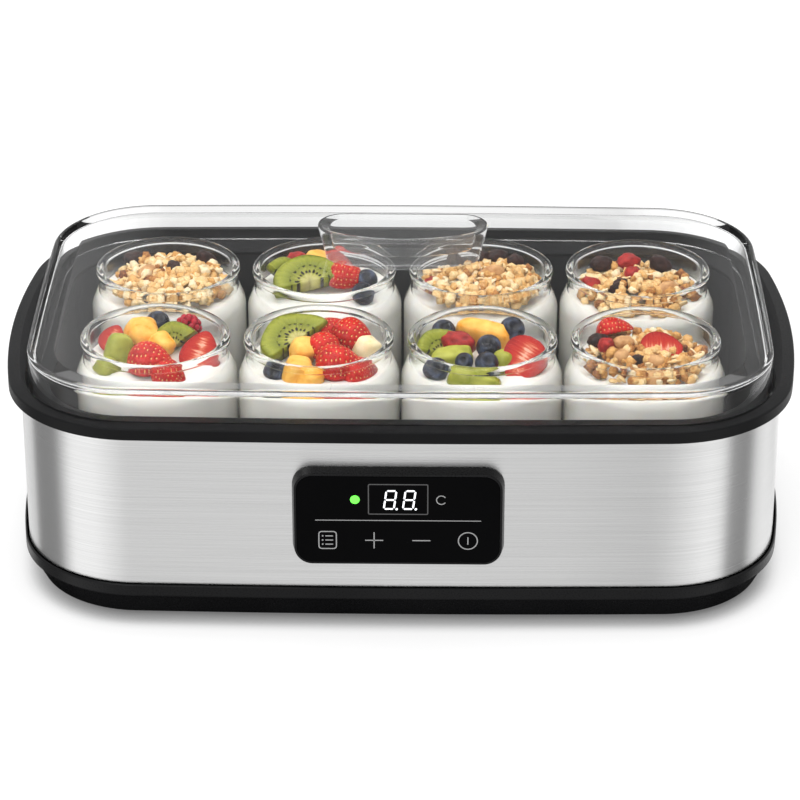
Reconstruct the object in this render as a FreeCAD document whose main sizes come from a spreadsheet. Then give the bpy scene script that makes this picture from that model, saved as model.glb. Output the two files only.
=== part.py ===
import FreeCAD, Part
import math
import operator
import os
from types import SimpleNamespace

import Sketcher

# Electric yogurt maker for eight glass jars, in millimetres.
# +Z is up, the front with the control unit faces -Y, and the origin lies on the table under the middle.

doc = FreeCAD.newDocument("yogurt_maker")
V = FreeCAD.Vector

# Driving sizes, one cell each
driving_sizes = {
    # Plan of the collar: four bowed sides joined by corner arcs. Band and base follow it at an inset
    "collar_side_rim": 20.0,
    "collar_front_rim": 19.5,
    "collar_corner_radius": 54.0,
    "side_bow_radius": 330.0,
    "front_bow_radius": 4000.0,
    "collar_overhang": 5.0,
    "seat_gap": 0.3,
    # Base tray, its flange under the band and the lower part that tapers in
    "foot_height": 2.5,
    "base_height": 16.2,
    "flange_height": 5.0,
    "flange_proud": 1.5,
    "flange_edge_radius": 0.6,
    "base_step": 1.3,
    "base_taper": 5.4,
    "base_wall": 2.2,
    "base_floor": 2.2,
    "base_edge_radius": 1.4,
    "locating_wall": 2.0,
    "locating_height": 3.5,
    "vent_length": 34.0,
    "vent_width": 3.0,
    "vent_end_radius": 1.35,
    "vent_pitch": 8.0,
    "vent_count": 6,
    "vent_x": 62.0,
    # Rubber feet
    "foot_radius": 9.0,
    "foot_recess": 1.0,
    "foot_inset_x": 58.5,
    "foot_inset_y": 29.0,
    "foot_edge_radius": 0.8,
    # Screws from below into posts of the tub
    "post_inset_x": 15.5,
    "post_inset_y": 13.5,
    "middle_post_inset": 8.5,
    "post_radius": 4.5,
    "base_boss_radius": 6.2,
    "base_boss_height": 4.0,
    "counterbore_depth": 3.4,
    "screw_head_radius": 3.4,
    "screw_head_height": 2.2,
    "screw_shank_radius": 1.7,
    "screw_length": 14.0,
    "screw_clearance": 0.4,
    "thread_clearance": 0.1,
    # Steel band
    "band_thickness": 0.6,
    # Collar
    "collar_height": 6.0,
    "collar_slope": 1.0,
    "collar_slope_width": 5.0,
    "collar_edge_radius": 0.7,
    "ledge_thickness": 1.8,
    "collar_skirt": 4.0,
    "collar_skirt_wall": 2.0,
    # Tub that holds the jars
    "tub_side_gap": 9.9,
    "tub_front_gap": 12.4,
    "tub_rise": 21.9,
    "tub_corner_radius": 33.0,
    "tub_bow_radius": 2500.0,
    "tub_wall": 2.2,
    "tub_floor": 2.6,
    "tub_floor_radius": 5.0,
    "tub_flange_width": 5.0,
    "tub_flange_thickness": 1.8,
    "seat_depth": 0.8,
    "seat_clearance": 3.2,
    # Jars: two rows of four
    "jar_gap_x": 0.8,
    "jar_gap_y": 1.8,
    "jar_height": 73.0,
    "jar_radius": 33.1,
    "jar_neck_step": 3.5,
    "jar_rim_bead": 1.2,
    "jar_rim_height": 3.2,
    "jar_wall": 2.4,
    "jar_floor": 4.0,
    "jar_push_up": 1.2,
    "jar_foot_step": 8.1,
    "jar_inner_corner": 3.5,
    "jar_neck_length": 8.0,
    "jar_shoulder_height": 8.5,
    "jar_base_corner": 5.0,
    "jar_shoulder_round": 7.0,
    "jar_rim_round": 1.1,
    "jar_lid_gap": 0.8,
    "jar_floor_gap": 0.2,
    # Yogurt that stands in the jars
    "yogurt_drop": 11.8,
    "yogurt_gap": 0.1,
    # Lid
    "lid_side_step": 8.0,
    "lid_front_step": 13.0,
    "lid_corner_radius": 42.0,
    "lid_bow_radius": 2500.0,
    "lid_rise": 13.4,
    "lid_drop": 4.2,
    "lid_draft": 0.6,
    "lid_wall": 2.2,
    "lid_clearance": 0.8,
    "lid_edge_radius": 0.9,
    "ridge_width": 2.2,
    "border_width": 10.7,
    "panel_drop": 1.7,
    "panel_thickness": 1.8,
    # Grip on the lid
    "handle_inset": 55.5,
    "handle_half_length": 36.5,
    "handle_half_depth": 14.3,
    "handle_corner_radius": 11.5,
    "handle_height": 15.5,
    "handle_taper": 3.6,
    "handle_lip": 1.2,
    "handle_dish_width": 4.6,
    "handle_dish_drop": 1.3,
    "handle_hollow": 11.0,
    "handle_hollow_taper": 2.4,
    "handle_edge_radius": 0.7,
    # Heater under the tub's floor
    "plate_inset_x": 23.5,
    "plate_inset_y": 19.5,
    "plate_corner_radius": 12.0,
    "plate_thickness": 1.2,
    "element_radius": 1.6,
    "element_inset": 22.0,
    "element_margin": 7.5,
    "element_runs": 8,
    "element_gap": 0.2,
    "element_tail": 8.0,
    "mat_thickness": 2.5,
    "mat_margin": 6.0,
    "mat_slot_margin": 2.0,
    # Sensor and fuse, held to the plate by straps
    "sensor_radius": 2.4,
    "sensor_length": 9.0,
    "fuse_radius": 2.0,
    "fuse_length": 11.0,
    "sensor_spacing": 26.0,
    "strap_thickness": 0.6,
    "strap_width": 5.0,
    "strap_foot": 2.0,
    "strap_gap": 0.1,
    # Control unit on the front of the band
    "panel_half_width": 41.5,
    "panel_half_height": 20.4,
    "panel_corner_radius": 7.3,
    "panel_depth": 5.2,
    "panel_draft": 1.0,
    "panel_edge_radius": 0.7,
    "panel_rest_gap": 0.1,
    "lens_border": 0.9,
    "lens_thickness": 1.6,
    "lens_gap": 0.15,
    "web_thickness": 1.4,
    "housing_wall": 2.5,
    "spigot_wall": 2.0,
    "spigot_depth": 4.0,
    "catch_x": 20.0,
    "catch_half_width": 6.0,
    "catch_rise": 1.0,
    "catch_depth": 1.6,
    "cutout_gap": 0.4,
    "board_gap": 0.4,
    "board_depth": 8.5,
    "board_thickness": 1.6,
    "display_half_width": 12.0,
    "display_half_height": 6.0,
    "display_height": 9.1,
    "part_gap": 0.2,
    "lamp_radius": 2.2,
    "lamp_spacing": 17.2,
    "key_pitch": 19.1,
    "key_drop": 10.2,
    "key_radius": 4.0,
    "board_boss_x": 33.2,
    "board_boss_high": 10.0,
    "board_boss_low": 1.0,
    "board_boss_radius": 2.4,
    "board_screw_radius": 1.1,
    "board_screw_head": 2.2,
    "board_screw_head_height": 1.6,
    "board_screw_length": 4.6,
    "buzzer_radius": 4.5,
    "buzzer_height": 3.6,
    # Bushing for a mains lead in the rear of the band
    "gland_x": 60.0,
    "gland_height": 12.0,
    "gland_bore_radius": 3.6,
    "gland_neck_radius": 7.0,
    "gland_hole_gap": 0.2,
    "gland_flange_radius": 10.6,
    "gland_flange_thickness": 3.0,
    "gland_nose_radius": 5.6,
    "gland_root_radius": 7.2,
    "gland_reach": 5.2,
    "gland_inner_length": 5.0,
    "gland_inner_radius": 8.4,
    # Supply board in the base
    "supply_x": 60.0,
    "supply_y": 30.0,
    "supply_half_length": 34.0,
    "supply_half_depth": 22.0,
    "supply_corner_radius": 2.0,
    "supply_standoff": 2.5,
    "supply_standoff_radius": 3.0,
    "supply_standoff_inset": 5.0,
    "film_length": 18.0,
    "film_depth": 8.0,
    "film_height": 6.0,
    "film_edge_radius": 0.8,
    "smoothing_radius": 3.1,
    "smoothing_length": 13.0,
    "smoothing_offset": 13.2,
    "triac_width": 10.2,
    "triac_length": 9.2,
    "triac_height": 4.4,
    "triac_tab_length": 6.2,
    "triac_tab_thickness": 1.3,
    "triac_tab_hole": 1.8,
    "terminal_length": 20.0,
    "terminal_depth": 9.0,
    "terminal_height": 6.4,
    "terminal_entry_radius": 1.8,
    "terminal_pitch": 6.4,
    "terminal_back_wall": 0.9,
    # Leads inside the body
    "lead_radius": 1.1,
    "lead_bend": 5.0,
    "lead_drop_gap": 5.0,
    "lead_reach": 10.0,
    "harness_radius": 1.5,
    "harness_bend": 6.0,
    "harness_x": 22.0,
    "harness_start": 8.0,
    "harness_fall": 5.5,
    "harness_landing": 25.5,
}

sheet = doc.addObject("Spreadsheet::Sheet", "Sizes")
for row, (alias, number) in enumerate(driving_sizes.items(), start=1):
    sheet.set(f"A{row}", alias.replace("_", " "))
    sheet.set(f"B{row}", str(number))
    sheet.setAlias(f"B{row}", alias)
doc.recompute()


class Size:
    """A size that carries its number and the sheet expression that gives it."""

    signs = {"+": operator.add, "-": operator.sub, "*": operator.mul, "/": operator.truediv}

    def __init__(self, number, text):
        self.number = float(number)
        self.text = text

    def joined(self, other, sign, swap=False):
        if not isinstance(other, Size):
            other = Size(other, repr(float(other)))
        left, right = (other, self) if swap else (self, other)
        number = self.signs[sign](left.number, right.number)
        return Size(number, f"({left.text} {sign} {right.text})")

    def __add__(self, other):
        return self.joined(other, "+")

    def __radd__(self, other):
        return self.joined(other, "+", swap=True)

    def __sub__(self, other):
        return self.joined(other, "-")

    def __rsub__(self, other):
        return self.joined(other, "-", swap=True)

    def __mul__(self, other):
        return self.joined(other, "*")

    def __rmul__(self, other):
        return self.joined(other, "*", swap=True)

    def __truediv__(self, other):
        return self.joined(other, "/")


s = SimpleNamespace(**{alias: Size(sheet.get(alias), f"Sizes.{alias}") for alias in driving_sizes})
zero = Size(0, "0")

# Heights above the table
base_under = s.foot_height
base_top = base_under + s.base_floor
band_low = base_under + s.base_height
flange_low = band_low - s.flange_height
tub_under = base_top + s.tub_rise
tub_top = tub_under + s.tub_floor
jar_low = tub_top - s.seat_depth + s.jar_floor_gap
lid_panel_under = jar_low + s.jar_height + s.jar_lid_gap
lid_panel = lid_panel_under + s.panel_thickness
lid_top = lid_panel + s.panel_drop
collar_top = lid_top - s.lid_rise
lid_low = collar_top - s.lid_drop
ledge = lid_low - s.seat_gap
ledge_under = ledge - s.ledge_thickness
band_high = collar_top - s.collar_height
band_height = band_high - band_low
plate_under = tub_under - s.plate_thickness
element_middle = plate_under - s.element_gap - s.element_radius
mat_top = element_middle - s.element_radius - s.element_gap
post_low = base_top + s.base_boss_height
supply_under = base_top + s.supply_standoff
supply_top = supply_under + s.board_thickness
panel_middle = band_low + band_height * 0.5
gland_middle = band_low + s.gland_height
# Heights above the jar's own underside
shoulder_high = s.jar_height - s.jar_neck_length
shoulder_low = shoulder_high - s.jar_shoulder_height
yogurt_level = s.jar_height - s.yogurt_drop

# Plan sizes, from the jars outwards
jar_pitch_x = 2 * s.jar_radius + s.jar_gap_x
jar_pitch_y = 2 * s.jar_radius + s.jar_gap_y
jar_neck_radius = s.jar_radius - s.jar_neck_step
jar_rim_radius = jar_neck_radius + s.jar_rim_bead
jar_foot_radius = s.jar_radius - s.jar_foot_step
jar_inner_radius = s.jar_radius - s.jar_wall
tub_half_width = 1.5 * jar_pitch_x + s.jar_radius + s.tub_side_gap
tub_half_depth = 0.5 * jar_pitch_y + s.jar_radius + s.tub_front_gap
collar_half_width = tub_half_width + s.collar_side_rim
collar_half_depth = tub_half_depth + s.collar_front_rim
lid_half_width = tub_half_width + s.lid_side_step
lid_half_depth = tub_half_depth + s.lid_front_step
handle_y = lid_half_depth - s.handle_inset
plate_half_length = tub_half_width - s.plate_inset_x
plate_half_depth = tub_half_depth - s.plate_inset_y
element_half_length = plate_half_length - s.element_inset
element_pitch = 2 * (plate_half_depth - s.element_margin) / (s.element_runs - 1)
lead_drop_x = plate_half_length - s.mat_margin + s.lead_drop_gap
post_x = tub_half_width - s.post_inset_x
post_y = tub_half_depth - s.post_inset_y
middle_post_y = tub_half_depth - s.middle_post_inset
foot_x = collar_half_width - s.foot_inset_x
foot_y = collar_half_depth - s.foot_inset_y

# Distances to the front of the middle plane
band_front = collar_half_depth - s.collar_overhang
panel_face = band_front + s.panel_depth
lens_back = panel_face - s.lens_thickness
web_back = lens_back - s.web_thickness
board_back = panel_face - s.board_depth
board_front = board_back + s.board_thickness

# Places of repeated pieces
jar_columns = [-1.5, -0.5, 0.5, 1.5]
jar_rows = [-0.5, 0.5]
post_places = [(side * post_x, face * post_y) for side in (-1, 1) for face in (-1, 1)]
post_places += [(zero, face * middle_post_y) for face in (-1, 1)]
foot_places = [(side * foot_x, face * foot_y) for side in (-1, 1) for face in (-1, 1)]
key_places = [(step * s.key_pitch, -1 * s.key_drop) for step in (-1.5, -0.5, 0.5, 1.5)]
lamp_places = [(side * s.lamp_spacing, s.display_height) for side in (-1, 1)]
board_boss_heights = (s.board_boss_high, -1 * s.board_boss_low)
board_boss_places = [(side * s.board_boss_x, height) for side in (-1, 1) for height in board_boss_heights]
standoff_places = [
    (s.supply_x + side * (s.supply_half_length - s.supply_standoff_inset),
     s.supply_y + face * (s.supply_half_depth - s.supply_standoff_inset))
    for side in (-1, 1) for face in (-1, 1)
]
# Greatest part of a straight run that one bend of a lead may take
bend_share = 0.45

nodes = {}


def bind(item, path, size):
    """Drive a property of an item from the sheet."""
    item.setExpression(path, size.text)


def keep(item, label):
    """Name a finished sub-part."""
    item.Label = label
    nodes[label] = item
    return item


# Sketches


def new_body(name):
    return doc.addObject("PartDesign::Body", f"{name}_body")


def new_sketch(body, name, plane="XY_Plane", offset=zero):
    """A sketch on one of the body's own planes, moved along the plane's normal."""
    sketch = body.newObject("Sketcher::SketchObject", name)
    support = next(item for item in body.Origin.OriginFeatures if item.Role == plane)
    sketch.AttachmentSupport = (support, [""])
    sketch.MapMode = "FlatFace"
    bind(sketch, "AttachmentOffset.Base.z", offset)
    return sketch


def dimension(sketch, kind, where, size):
    """Add one driving dimension to a sketch and tie it to the sheet."""
    index = sketch.addConstraint(Sketcher.Constraint(kind, *where, size.number))
    sketch.setExpression(f"Constraints[{index}]", size.text)


def pin_point(sketch, geometry, point, across, up):
    """Hold a point of a sketch at a distance across and up from the origin."""
    for kind, axis, size in (("DistanceX", -2, across), ("DistanceY", -1, up)):
        if size.number == 0:
            sketch.addConstraint(Sketcher.Constraint("PointOnObject", geometry, point, axis))
        else:
            dimension(sketch, kind, (-1, 1, geometry, point), size)


def add_circle(sketch, across, up, radius):
    circle = Part.Circle(V(across.number, up.number, 0), V(0, 0, 1), radius.number)
    index = sketch.addGeometry(circle, False)
    dimension(sketch, "Radius", (index,), radius)
    pin_point(sketch, index, 3, across, up)


def add_polygon(sketch, points):
    """A closed outline of straight lines through points that the sheet drives."""
    corners = [V(across.number, up.number, 0) for across, up in points]
    count = len(corners)
    lines = [
        sketch.addGeometry(Part.LineSegment(corners[step], corners[(step + 1) % count]), False)
        for step in range(count)
    ]
    for step, line in enumerate(lines):
        sketch.addConstraint(Sketcher.Constraint("Coincident", line, 2, lines[(step + 1) % count], 1))
        pin_point(sketch, line, 1, *points[step])


def add_rounded_box(sketch, across, up, half_width, half_height, radius):
    """A rectangle with four equal corner arcs, centred at a point."""
    x, y = across.number, up.number
    w, h, r = half_width.number, half_height.number, radius.number
    ends = [
        ((x - w + r, y - h), (x + w - r, y - h)),
        ((x + w, y - h + r), (x + w, y + h - r)),
        ((x + w - r, y + h), (x - w + r, y + h)),
        ((x - w, y + h - r), (x - w, y - h + r)),
    ]
    centres = [(x + w - r, y - h + r), (x + w - r, y + h - r), (x - w + r, y + h - r), (x - w + r, y - h + r)]
    lines = []
    arcs = []
    for quarter in range(4):
        start, end = ends[quarter]
        lines.append(sketch.addGeometry(Part.LineSegment(V(*start, 0), V(*end, 0)), False))
        circle = Part.Circle(V(*centres[quarter], 0), V(0, 0, 1), r)
        turn = (quarter - 1) * math.pi / 2
        arcs.append(sketch.addGeometry(Part.ArcOfCircle(circle, turn, turn + math.pi / 2), False))
    for quarter in range(4):
        sketch.addConstraint(Sketcher.Constraint("Tangent", lines[quarter], 2, arcs[quarter], 1))
        sketch.addConstraint(Sketcher.Constraint("Tangent", arcs[quarter], 2, lines[(quarter + 1) % 4], 1))
    sketch.addConstraint(Sketcher.Constraint("Horizontal", lines[0]))
    sketch.addConstraint(Sketcher.Constraint("Horizontal", lines[2]))
    sketch.addConstraint(Sketcher.Constraint("Vertical", lines[1]))
    sketch.addConstraint(Sketcher.Constraint("Vertical", lines[3]))
    for arc in arcs[1:]:
        sketch.addConstraint(Sketcher.Constraint("Equal", arcs[0], arc))
    dimension(sketch, "Radius", (arcs[0],), radius)
    dimension(sketch, "DistanceY", (-1, 1, lines[0], 1), up - half_height)
    dimension(sketch, "DistanceX", (-1, 1, lines[1], 1), across + half_width)
    dimension(sketch, "DistanceY", (-1, 1, lines[2], 1), up + half_height)
    dimension(sketch, "DistanceX", (-1, 1, lines[3], 1), across - half_width)


class Plan:
    """A bowed outline: half sizes on the two axes, corner radius and the radii of the bowed sides."""

    def __init__(self, half_width, half_depth, corner, side_bow, front_bow):
        self.half_width = half_width
        self.half_depth = half_depth
        self.corner = corner
        self.side_bow = side_bow
        self.front_bow = front_bow

    def inset(self, amount):
        """The parallel outline that lies an amount further in."""
        return Plan(
            self.half_width - amount,
            self.half_depth - amount,
            self.corner - amount,
            self.side_bow - amount,
            self.front_bow - amount,
        )


def add_outline(sketch, plan):
    """Eight tangent arcs: bowed right, back, left and front sides with a corner arc after each."""
    corner = plan.corner.number
    side_bow = plan.side_bow.number
    front_bow = plan.front_bow.number
    side_centre = plan.half_width.number - side_bow
    front_centre = plan.half_depth.number - front_bow
    # The corner arc's centre is one corner radius short of both bows
    apart = math.hypot(side_centre, front_centre)
    reach_side = side_bow - corner
    reach_front = front_bow - corner
    along = (reach_side ** 2 - reach_front ** 2 + apart ** 2) / (2 * apart)
    aside = math.sqrt(reach_side ** 2 - along ** 2)
    run = V(-side_centre, front_centre, 0) * (1 / apart)
    corner_centre = V(side_centre, 0, 0) + run * along + V(-run.y, run.x, 0) * aside
    if corner_centre.x < 0 or corner_centre.y < 0:
        corner_centre = V(side_centre, 0, 0) + run * along - V(-run.y, run.x, 0) * aside
    side_angle = math.atan2(corner_centre.y, corner_centre.x - side_centre)
    front_angle = math.atan2(corner_centre.y - front_centre, corner_centre.x)
    half = math.pi
    x, y = corner_centre.x, corner_centre.y
    pieces = [
        ((side_centre, 0), side_bow, -side_angle, side_angle),
        ((x, y), corner, side_angle, front_angle),
        ((0, front_centre), front_bow, front_angle, half - front_angle),
        ((-x, y), corner, half - front_angle, half - side_angle),
        ((-side_centre, 0), side_bow, half - side_angle, half + side_angle),
        ((-x, -y), corner, half + side_angle, half + front_angle),
        ((0, -front_centre), front_bow, half + front_angle, 2 * half - front_angle),
        ((x, -y), corner, 2 * half - front_angle, 2 * half - side_angle),
    ]
    arcs = []
    for centre, radius, start, end in pieces:
        circle = Part.Circle(V(*centre, 0), V(0, 0, 1), radius)
        arcs.append(sketch.addGeometry(Part.ArcOfCircle(circle, start, end), False))
    for step, arc in enumerate(arcs):
        sketch.addConstraint(Sketcher.Constraint("Tangent", arc, 2, arcs[(step + 1) % 8], 1))
    radii = [plan.side_bow, plan.corner, plan.front_bow, plan.corner]
    for step, arc in enumerate(arcs):
        dimension(sketch, "Radius", (arc,), radii[step % 4])
    pin_point(sketch, arcs[0], 3, plan.half_width - plan.side_bow, zero)
    pin_point(sketch, arcs[2], 3, zero, plan.half_depth - plan.front_bow)
    pin_point(sketch, arcs[4], 3, plan.side_bow - plan.half_width, zero)
    pin_point(sketch, arcs[6], 3, zero, plan.front_bow - plan.half_depth)


def add_bowed_front(sketch, middle, half_width, half_depth, corner):
    """A straight rear edge, two corner arcs and one front bow that runs on from both of them."""
    reach = half_width - corner
    bow = reach * reach / (4 * (half_depth - corner)) + half_depth
    rear = middle + half_depth
    bow_centre = middle - half_depth + bow
    x, r = reach.number, corner.number
    y = rear.number - r
    meet = math.atan2(y - bow_centre.number, x)
    half = math.pi
    right_circle = Part.Circle(V(x, y, 0), V(0, 0, 1), r)
    left_circle = Part.Circle(V(-x, y, 0), V(0, 0, 1), r)
    bow_circle = Part.Circle(V(0, bow_centre.number, 0), V(0, 0, 1), bow.number)
    curves = [
        Part.ArcOfCircle(right_circle, meet, 0.5 * half),
        Part.LineSegment(V(x, rear.number, 0), V(-x, rear.number, 0)),
        Part.ArcOfCircle(left_circle, 0.5 * half, half - meet),
        Part.ArcOfCircle(bow_circle, half - meet, 2 * half + meet),
    ]
    right, line, left, front = [sketch.addGeometry(curve, False) for curve in curves]
    for before, after in ((right, line), (line, left), (left, front), (front, right)):
        sketch.addConstraint(Sketcher.Constraint("Tangent", before, 2, after, 1))
    sketch.addConstraint(Sketcher.Constraint("Horizontal", line))
    dimension(sketch, "Radius", (right,), corner)
    dimension(sketch, "Radius", (left,), corner)
    dimension(sketch, "Radius", (front,), bow)
    dimension(sketch, "DistanceY", (-1, 1, line, 1), rear)
    pin_point(sketch, front, 3, zero, bow_centre)


# Features of a body


def add_pad(body, sketch, length, down=False):
    pad = body.newObject("PartDesign::Pad", f"{sketch.Name}_pad")
    pad.Profile = sketch
    bind(pad, "Length", length)
    pad.Reversed = down
    return pad


def add_pocket(body, sketch, length, against=False):
    """Cut along the way opposite to the sketch's normal, or against that way."""
    pocket = body.newObject("PartDesign::Pocket", f"{sketch.Name}_pocket")
    pocket.Profile = sketch
    bind(pocket, "Length", length)
    pocket.Reversed = against
    return pocket


def add_loft(body, first, last, cut=False):
    """A ruled loft between two sketches, added to the body or cut from it."""
    kind = "PartDesign::SubtractiveLoft" if cut else "PartDesign::AdditiveLoft"
    loft = body.newObject(kind, f"{first.Name}_loft")
    loft.Profile = first
    loft.Sections = [last]
    loft.Ruled = True
    return loft


def add_turned(body, sketch):
    """A full turn of a sketch about its upright axis."""
    turned = body.newObject("PartDesign::Revolution", f"{sketch.Name}_turned")
    turned.Profile = sketch
    turned.ReferenceAxis = (sketch, ["V_Axis"])
    turned.Angle = 360
    return turned


def outline_sketch(body, name, plan, height):
    sketch = new_sketch(body, name, offset=height)
    add_outline(sketch, plan)
    return sketch


def circles_sketch(body, name, places, radius, plane="XY_Plane", offset=zero):
    sketch = new_sketch(body, name, plane, offset)
    for across, up in places:
        add_circle(sketch, across, up, radius)
    return sketch


def box_sketch(body, name, across, up, half_width, half_height, radius, plane="XY_Plane", offset=zero):
    sketch = new_sketch(body, name, plane, offset)
    add_rounded_box(sketch, across, up, half_width, half_height, radius)
    return sketch


def round_edges(body, radius, chosen):
    """Fillet the edges of the body's last feature that a test picks."""
    doc.recompute()
    base = body.Tip
    names = [f"Edge{index}" for index, edge in enumerate(base.Shape.Edges, start=1) if chosen(edge)]
    fillet = body.newObject("PartDesign::Fillet", f"{body.Name}_round_{len(body.Group)}")
    fillet.Base = (base, names)
    bind(fillet, "Radius", radius)
    return fillet


def level_at(height, tolerance=0.01):
    """Picks edges that lie level at a height."""

    def test(edge):
        box = edge.BoundBox
        return abs(box.ZMin - height.number) < tolerance and abs(box.ZMax - height.number) < tolerance

    return test


def facing_at(depth, tolerance=0.01):
    """Picks edges that lie in the upright plane at a distance in front of the middle."""

    def test(edge):
        box = edge.BoundBox
        return abs(box.YMin + depth.number) < tolerance and abs(box.YMax + depth.number) < tolerance

    return test


# Simple solids


def place_at(item, x, y, z):
    for axis, size in (("x", x), ("y", y), ("z", z)):
        bind(item, f"Placement.Base.{axis}", size)


def upright_cylinder(name, radius, height, x, y, z):
    item = doc.addObject("Part::Cylinder", name)
    bind(item, "Radius", radius)
    bind(item, "Height", height)
    place_at(item, x, y, z)
    return item


def turned_cylinder(name, radius, length, x, y, z, axis):
    """A cylinder that starts at a point and runs along an axis."""
    item = upright_cylinder(name, radius, length, x, y, z)
    item.Placement.Rotation = FreeCAD.Rotation(V(0, 0, 1), axis)
    return item


def fused(name, items):
    item = doc.addObject("Part::MultiFuse", name)
    item.Shapes = items
    return item


def grouped(name, items):
    item = doc.addObject("Part::Compound", name)
    item.Links = items
    return item


def bent_path(points, bend):
    """Straight runs through points, joined by tangent arcs of one radius."""
    edges = []
    start = points[0]
    for before, corner, after in zip(points, points[1:], points[2:]):
        arriving = (corner - before).normalize()
        leaving = (after - corner).normalize()
        turn = arriving.getAngle(leaving)
        back = bend * math.tan(turn / 2)
        arc_start = corner - arriving * back
        arc_end = corner + leaving * back
        inward = (leaving - arriving).normalize()
        middle = corner + inward * (bend / math.cos(turn / 2) - bend)
        edges.append(Part.LineSegment(start, arc_start).toShape())
        edges.append(Part.Arc(arc_start, middle, arc_end).toShape())
        start = arc_end
    edges.append(Part.LineSegment(start, points[-1]).toShape())
    return Part.Wire(edges)


def tube_along(wire, radius):
    """A round solid swept along a wire."""
    first = wire.Edges[0]
    begin = first.valueAt(first.FirstParameter)
    heading = first.tangentAt(first.FirstParameter)
    section = Part.Wire(Part.Circle(begin, heading, radius).toShape())
    return wire.makePipeShell([section], True, False)


def point(x, y, z):
    return V(x.number, y.number, z.number)


# Plans that the pieces share
collar_plan = Plan(
    collar_half_width, collar_half_depth, s.collar_corner_radius, s.side_bow_radius, s.front_bow_radius
)
band_plan = collar_plan.inset(s.collar_overhang)
flange_plan = band_plan.inset(-1 * s.flange_proud)
lower_plan = flange_plan.inset(s.base_step)
bottom_plan = lower_plan.inset(s.base_taper)
inside_band_plan = band_plan.inset(s.band_thickness)
locating_plan = inside_band_plan.inset(s.seat_gap)
tray_plan = locating_plan.inset(s.locating_wall)
tub_plan = Plan(tub_half_width, tub_half_depth, s.tub_corner_radius, s.tub_bow_radius, s.front_bow_radius)
tub_outer_plan = tub_plan.inset(-1 * s.tub_wall)
tub_flange_plan = tub_outer_plan.inset(-1 * s.tub_flange_width)
lid_plan = Plan(lid_half_width, lid_half_depth, s.lid_corner_radius, s.lid_bow_radius, s.front_bow_radius)
lid_foot_plan = lid_plan.inset(-1 * s.lid_draft)
rebate_plan = lid_foot_plan.inset(-1 * s.lid_clearance)


def make_base_tray():
    """Tray with a tapered lower part, a flange for the band, bosses, standoffs and vents."""
    body = new_body("base_tray")
    low = outline_sketch(body, "base_bottom", bottom_plan, base_under)
    high = outline_sketch(body, "base_shoulder", lower_plan, flange_low)
    add_loft(body, low, high)
    round_edges(body, s.base_edge_radius, level_at(base_under))
    add_pad(body, outline_sketch(body, "base_flange", flange_plan, flange_low), s.flange_height)
    round_edges(body, s.flange_edge_radius, level_at(band_low))
    add_pad(body, outline_sketch(body, "base_locating", locating_plan, band_low), s.locating_height)
    hollow_low = outline_sketch(body, "base_hollow_low", bottom_plan.inset(s.base_wall), base_top)
    hollow_high = outline_sketch(body, "base_hollow_high", tray_plan, flange_low)
    add_loft(body, hollow_low, hollow_high, cut=True)
    mouth = outline_sketch(body, "base_mouth", tray_plan, band_low + s.locating_height)
    add_pocket(body, mouth, s.flange_height + s.locating_height)
    bosses = circles_sketch(body, "base_bosses", post_places, s.base_boss_radius, offset=base_top)
    add_pad(body, bosses, s.base_boss_height)
    standoffs = circles_sketch(body, "base_standoffs", standoff_places, s.supply_standoff_radius,
                               offset=base_top)
    add_pad(body, standoffs, s.supply_standoff)
    pilots = circles_sketch(body, "base_standoff_pilots", standoff_places,
                            s.board_screw_radius + s.thread_clearance, offset=supply_under)
    add_pocket(body, pilots, s.board_screw_length - s.board_thickness + s.part_gap)
    head_radius = s.screw_head_radius + s.screw_clearance
    heads = circles_sketch(body, "base_counterbores", post_places, head_radius, offset=base_under)
    add_pocket(body, heads, s.counterbore_depth, against=True)
    shank_radius = s.screw_shank_radius + s.screw_clearance
    shanks = circles_sketch(body, "base_screw_holes", post_places, shank_radius, offset=base_under)
    add_pocket(body, shanks, s.base_floor + s.base_boss_height, against=True)
    feet = circles_sketch(body, "base_foot_recesses", foot_places, s.foot_radius + s.screw_clearance,
                          offset=base_under)
    add_pocket(body, feet, s.foot_recess, against=True)
    vents = new_sketch(body, "base_vents", offset=base_under)
    row_start = -0.5 * (s.vent_count - 1) * s.vent_pitch
    for step in range(int(s.vent_count.number)):
        add_rounded_box(vents, -1 * s.vent_x, row_start + step * s.vent_pitch, s.vent_length * 0.5,
                        s.vent_width * 0.5, s.vent_end_radius)
    add_pocket(body, vents, s.base_floor, against=True)
    keep(body, "base_tray")


def make_feet_and_screws():
    """Four rubber feet in their recesses and six screws that hold the base to the tub."""
    feet = []
    for index, (x, y) in enumerate(foot_places, start=1):
        height = s.foot_height + s.foot_recess
        disc = upright_cylinder(f"foot_disc_{index}", s.foot_radius, height, x, y, zero)
        doc.recompute()
        rounded = doc.addObject("Part::Fillet", f"foot_{index}")
        rounded.Base = disc
        low = [
            number for number, edge in enumerate(disc.Shape.Edges, start=1)
            if edge.BoundBox.ZMax < s.foot_edge_radius.number
        ]
        rounded.Edges = [(number, s.foot_edge_radius.number, s.foot_edge_radius.number) for number in low]
        feet.append(rounded)
    keep(grouped("rubber_feet_group", feet), "rubber_feet")
    screws = []
    head_top = base_under + s.counterbore_depth
    for index, (x, y) in enumerate(post_places, start=1):
        head = upright_cylinder(f"screw_head_{index}", s.screw_head_radius, s.screw_head_height, x, y,
                                head_top - s.screw_head_height)
        shank = upright_cylinder(f"screw_shank_{index}", s.screw_shank_radius, s.screw_length, x, y, head_top)
        screws.append(fused(f"base_screw_{index}", [head, shank]))
    keep(grouped("base_screws_group", screws), "base_screws")


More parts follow.
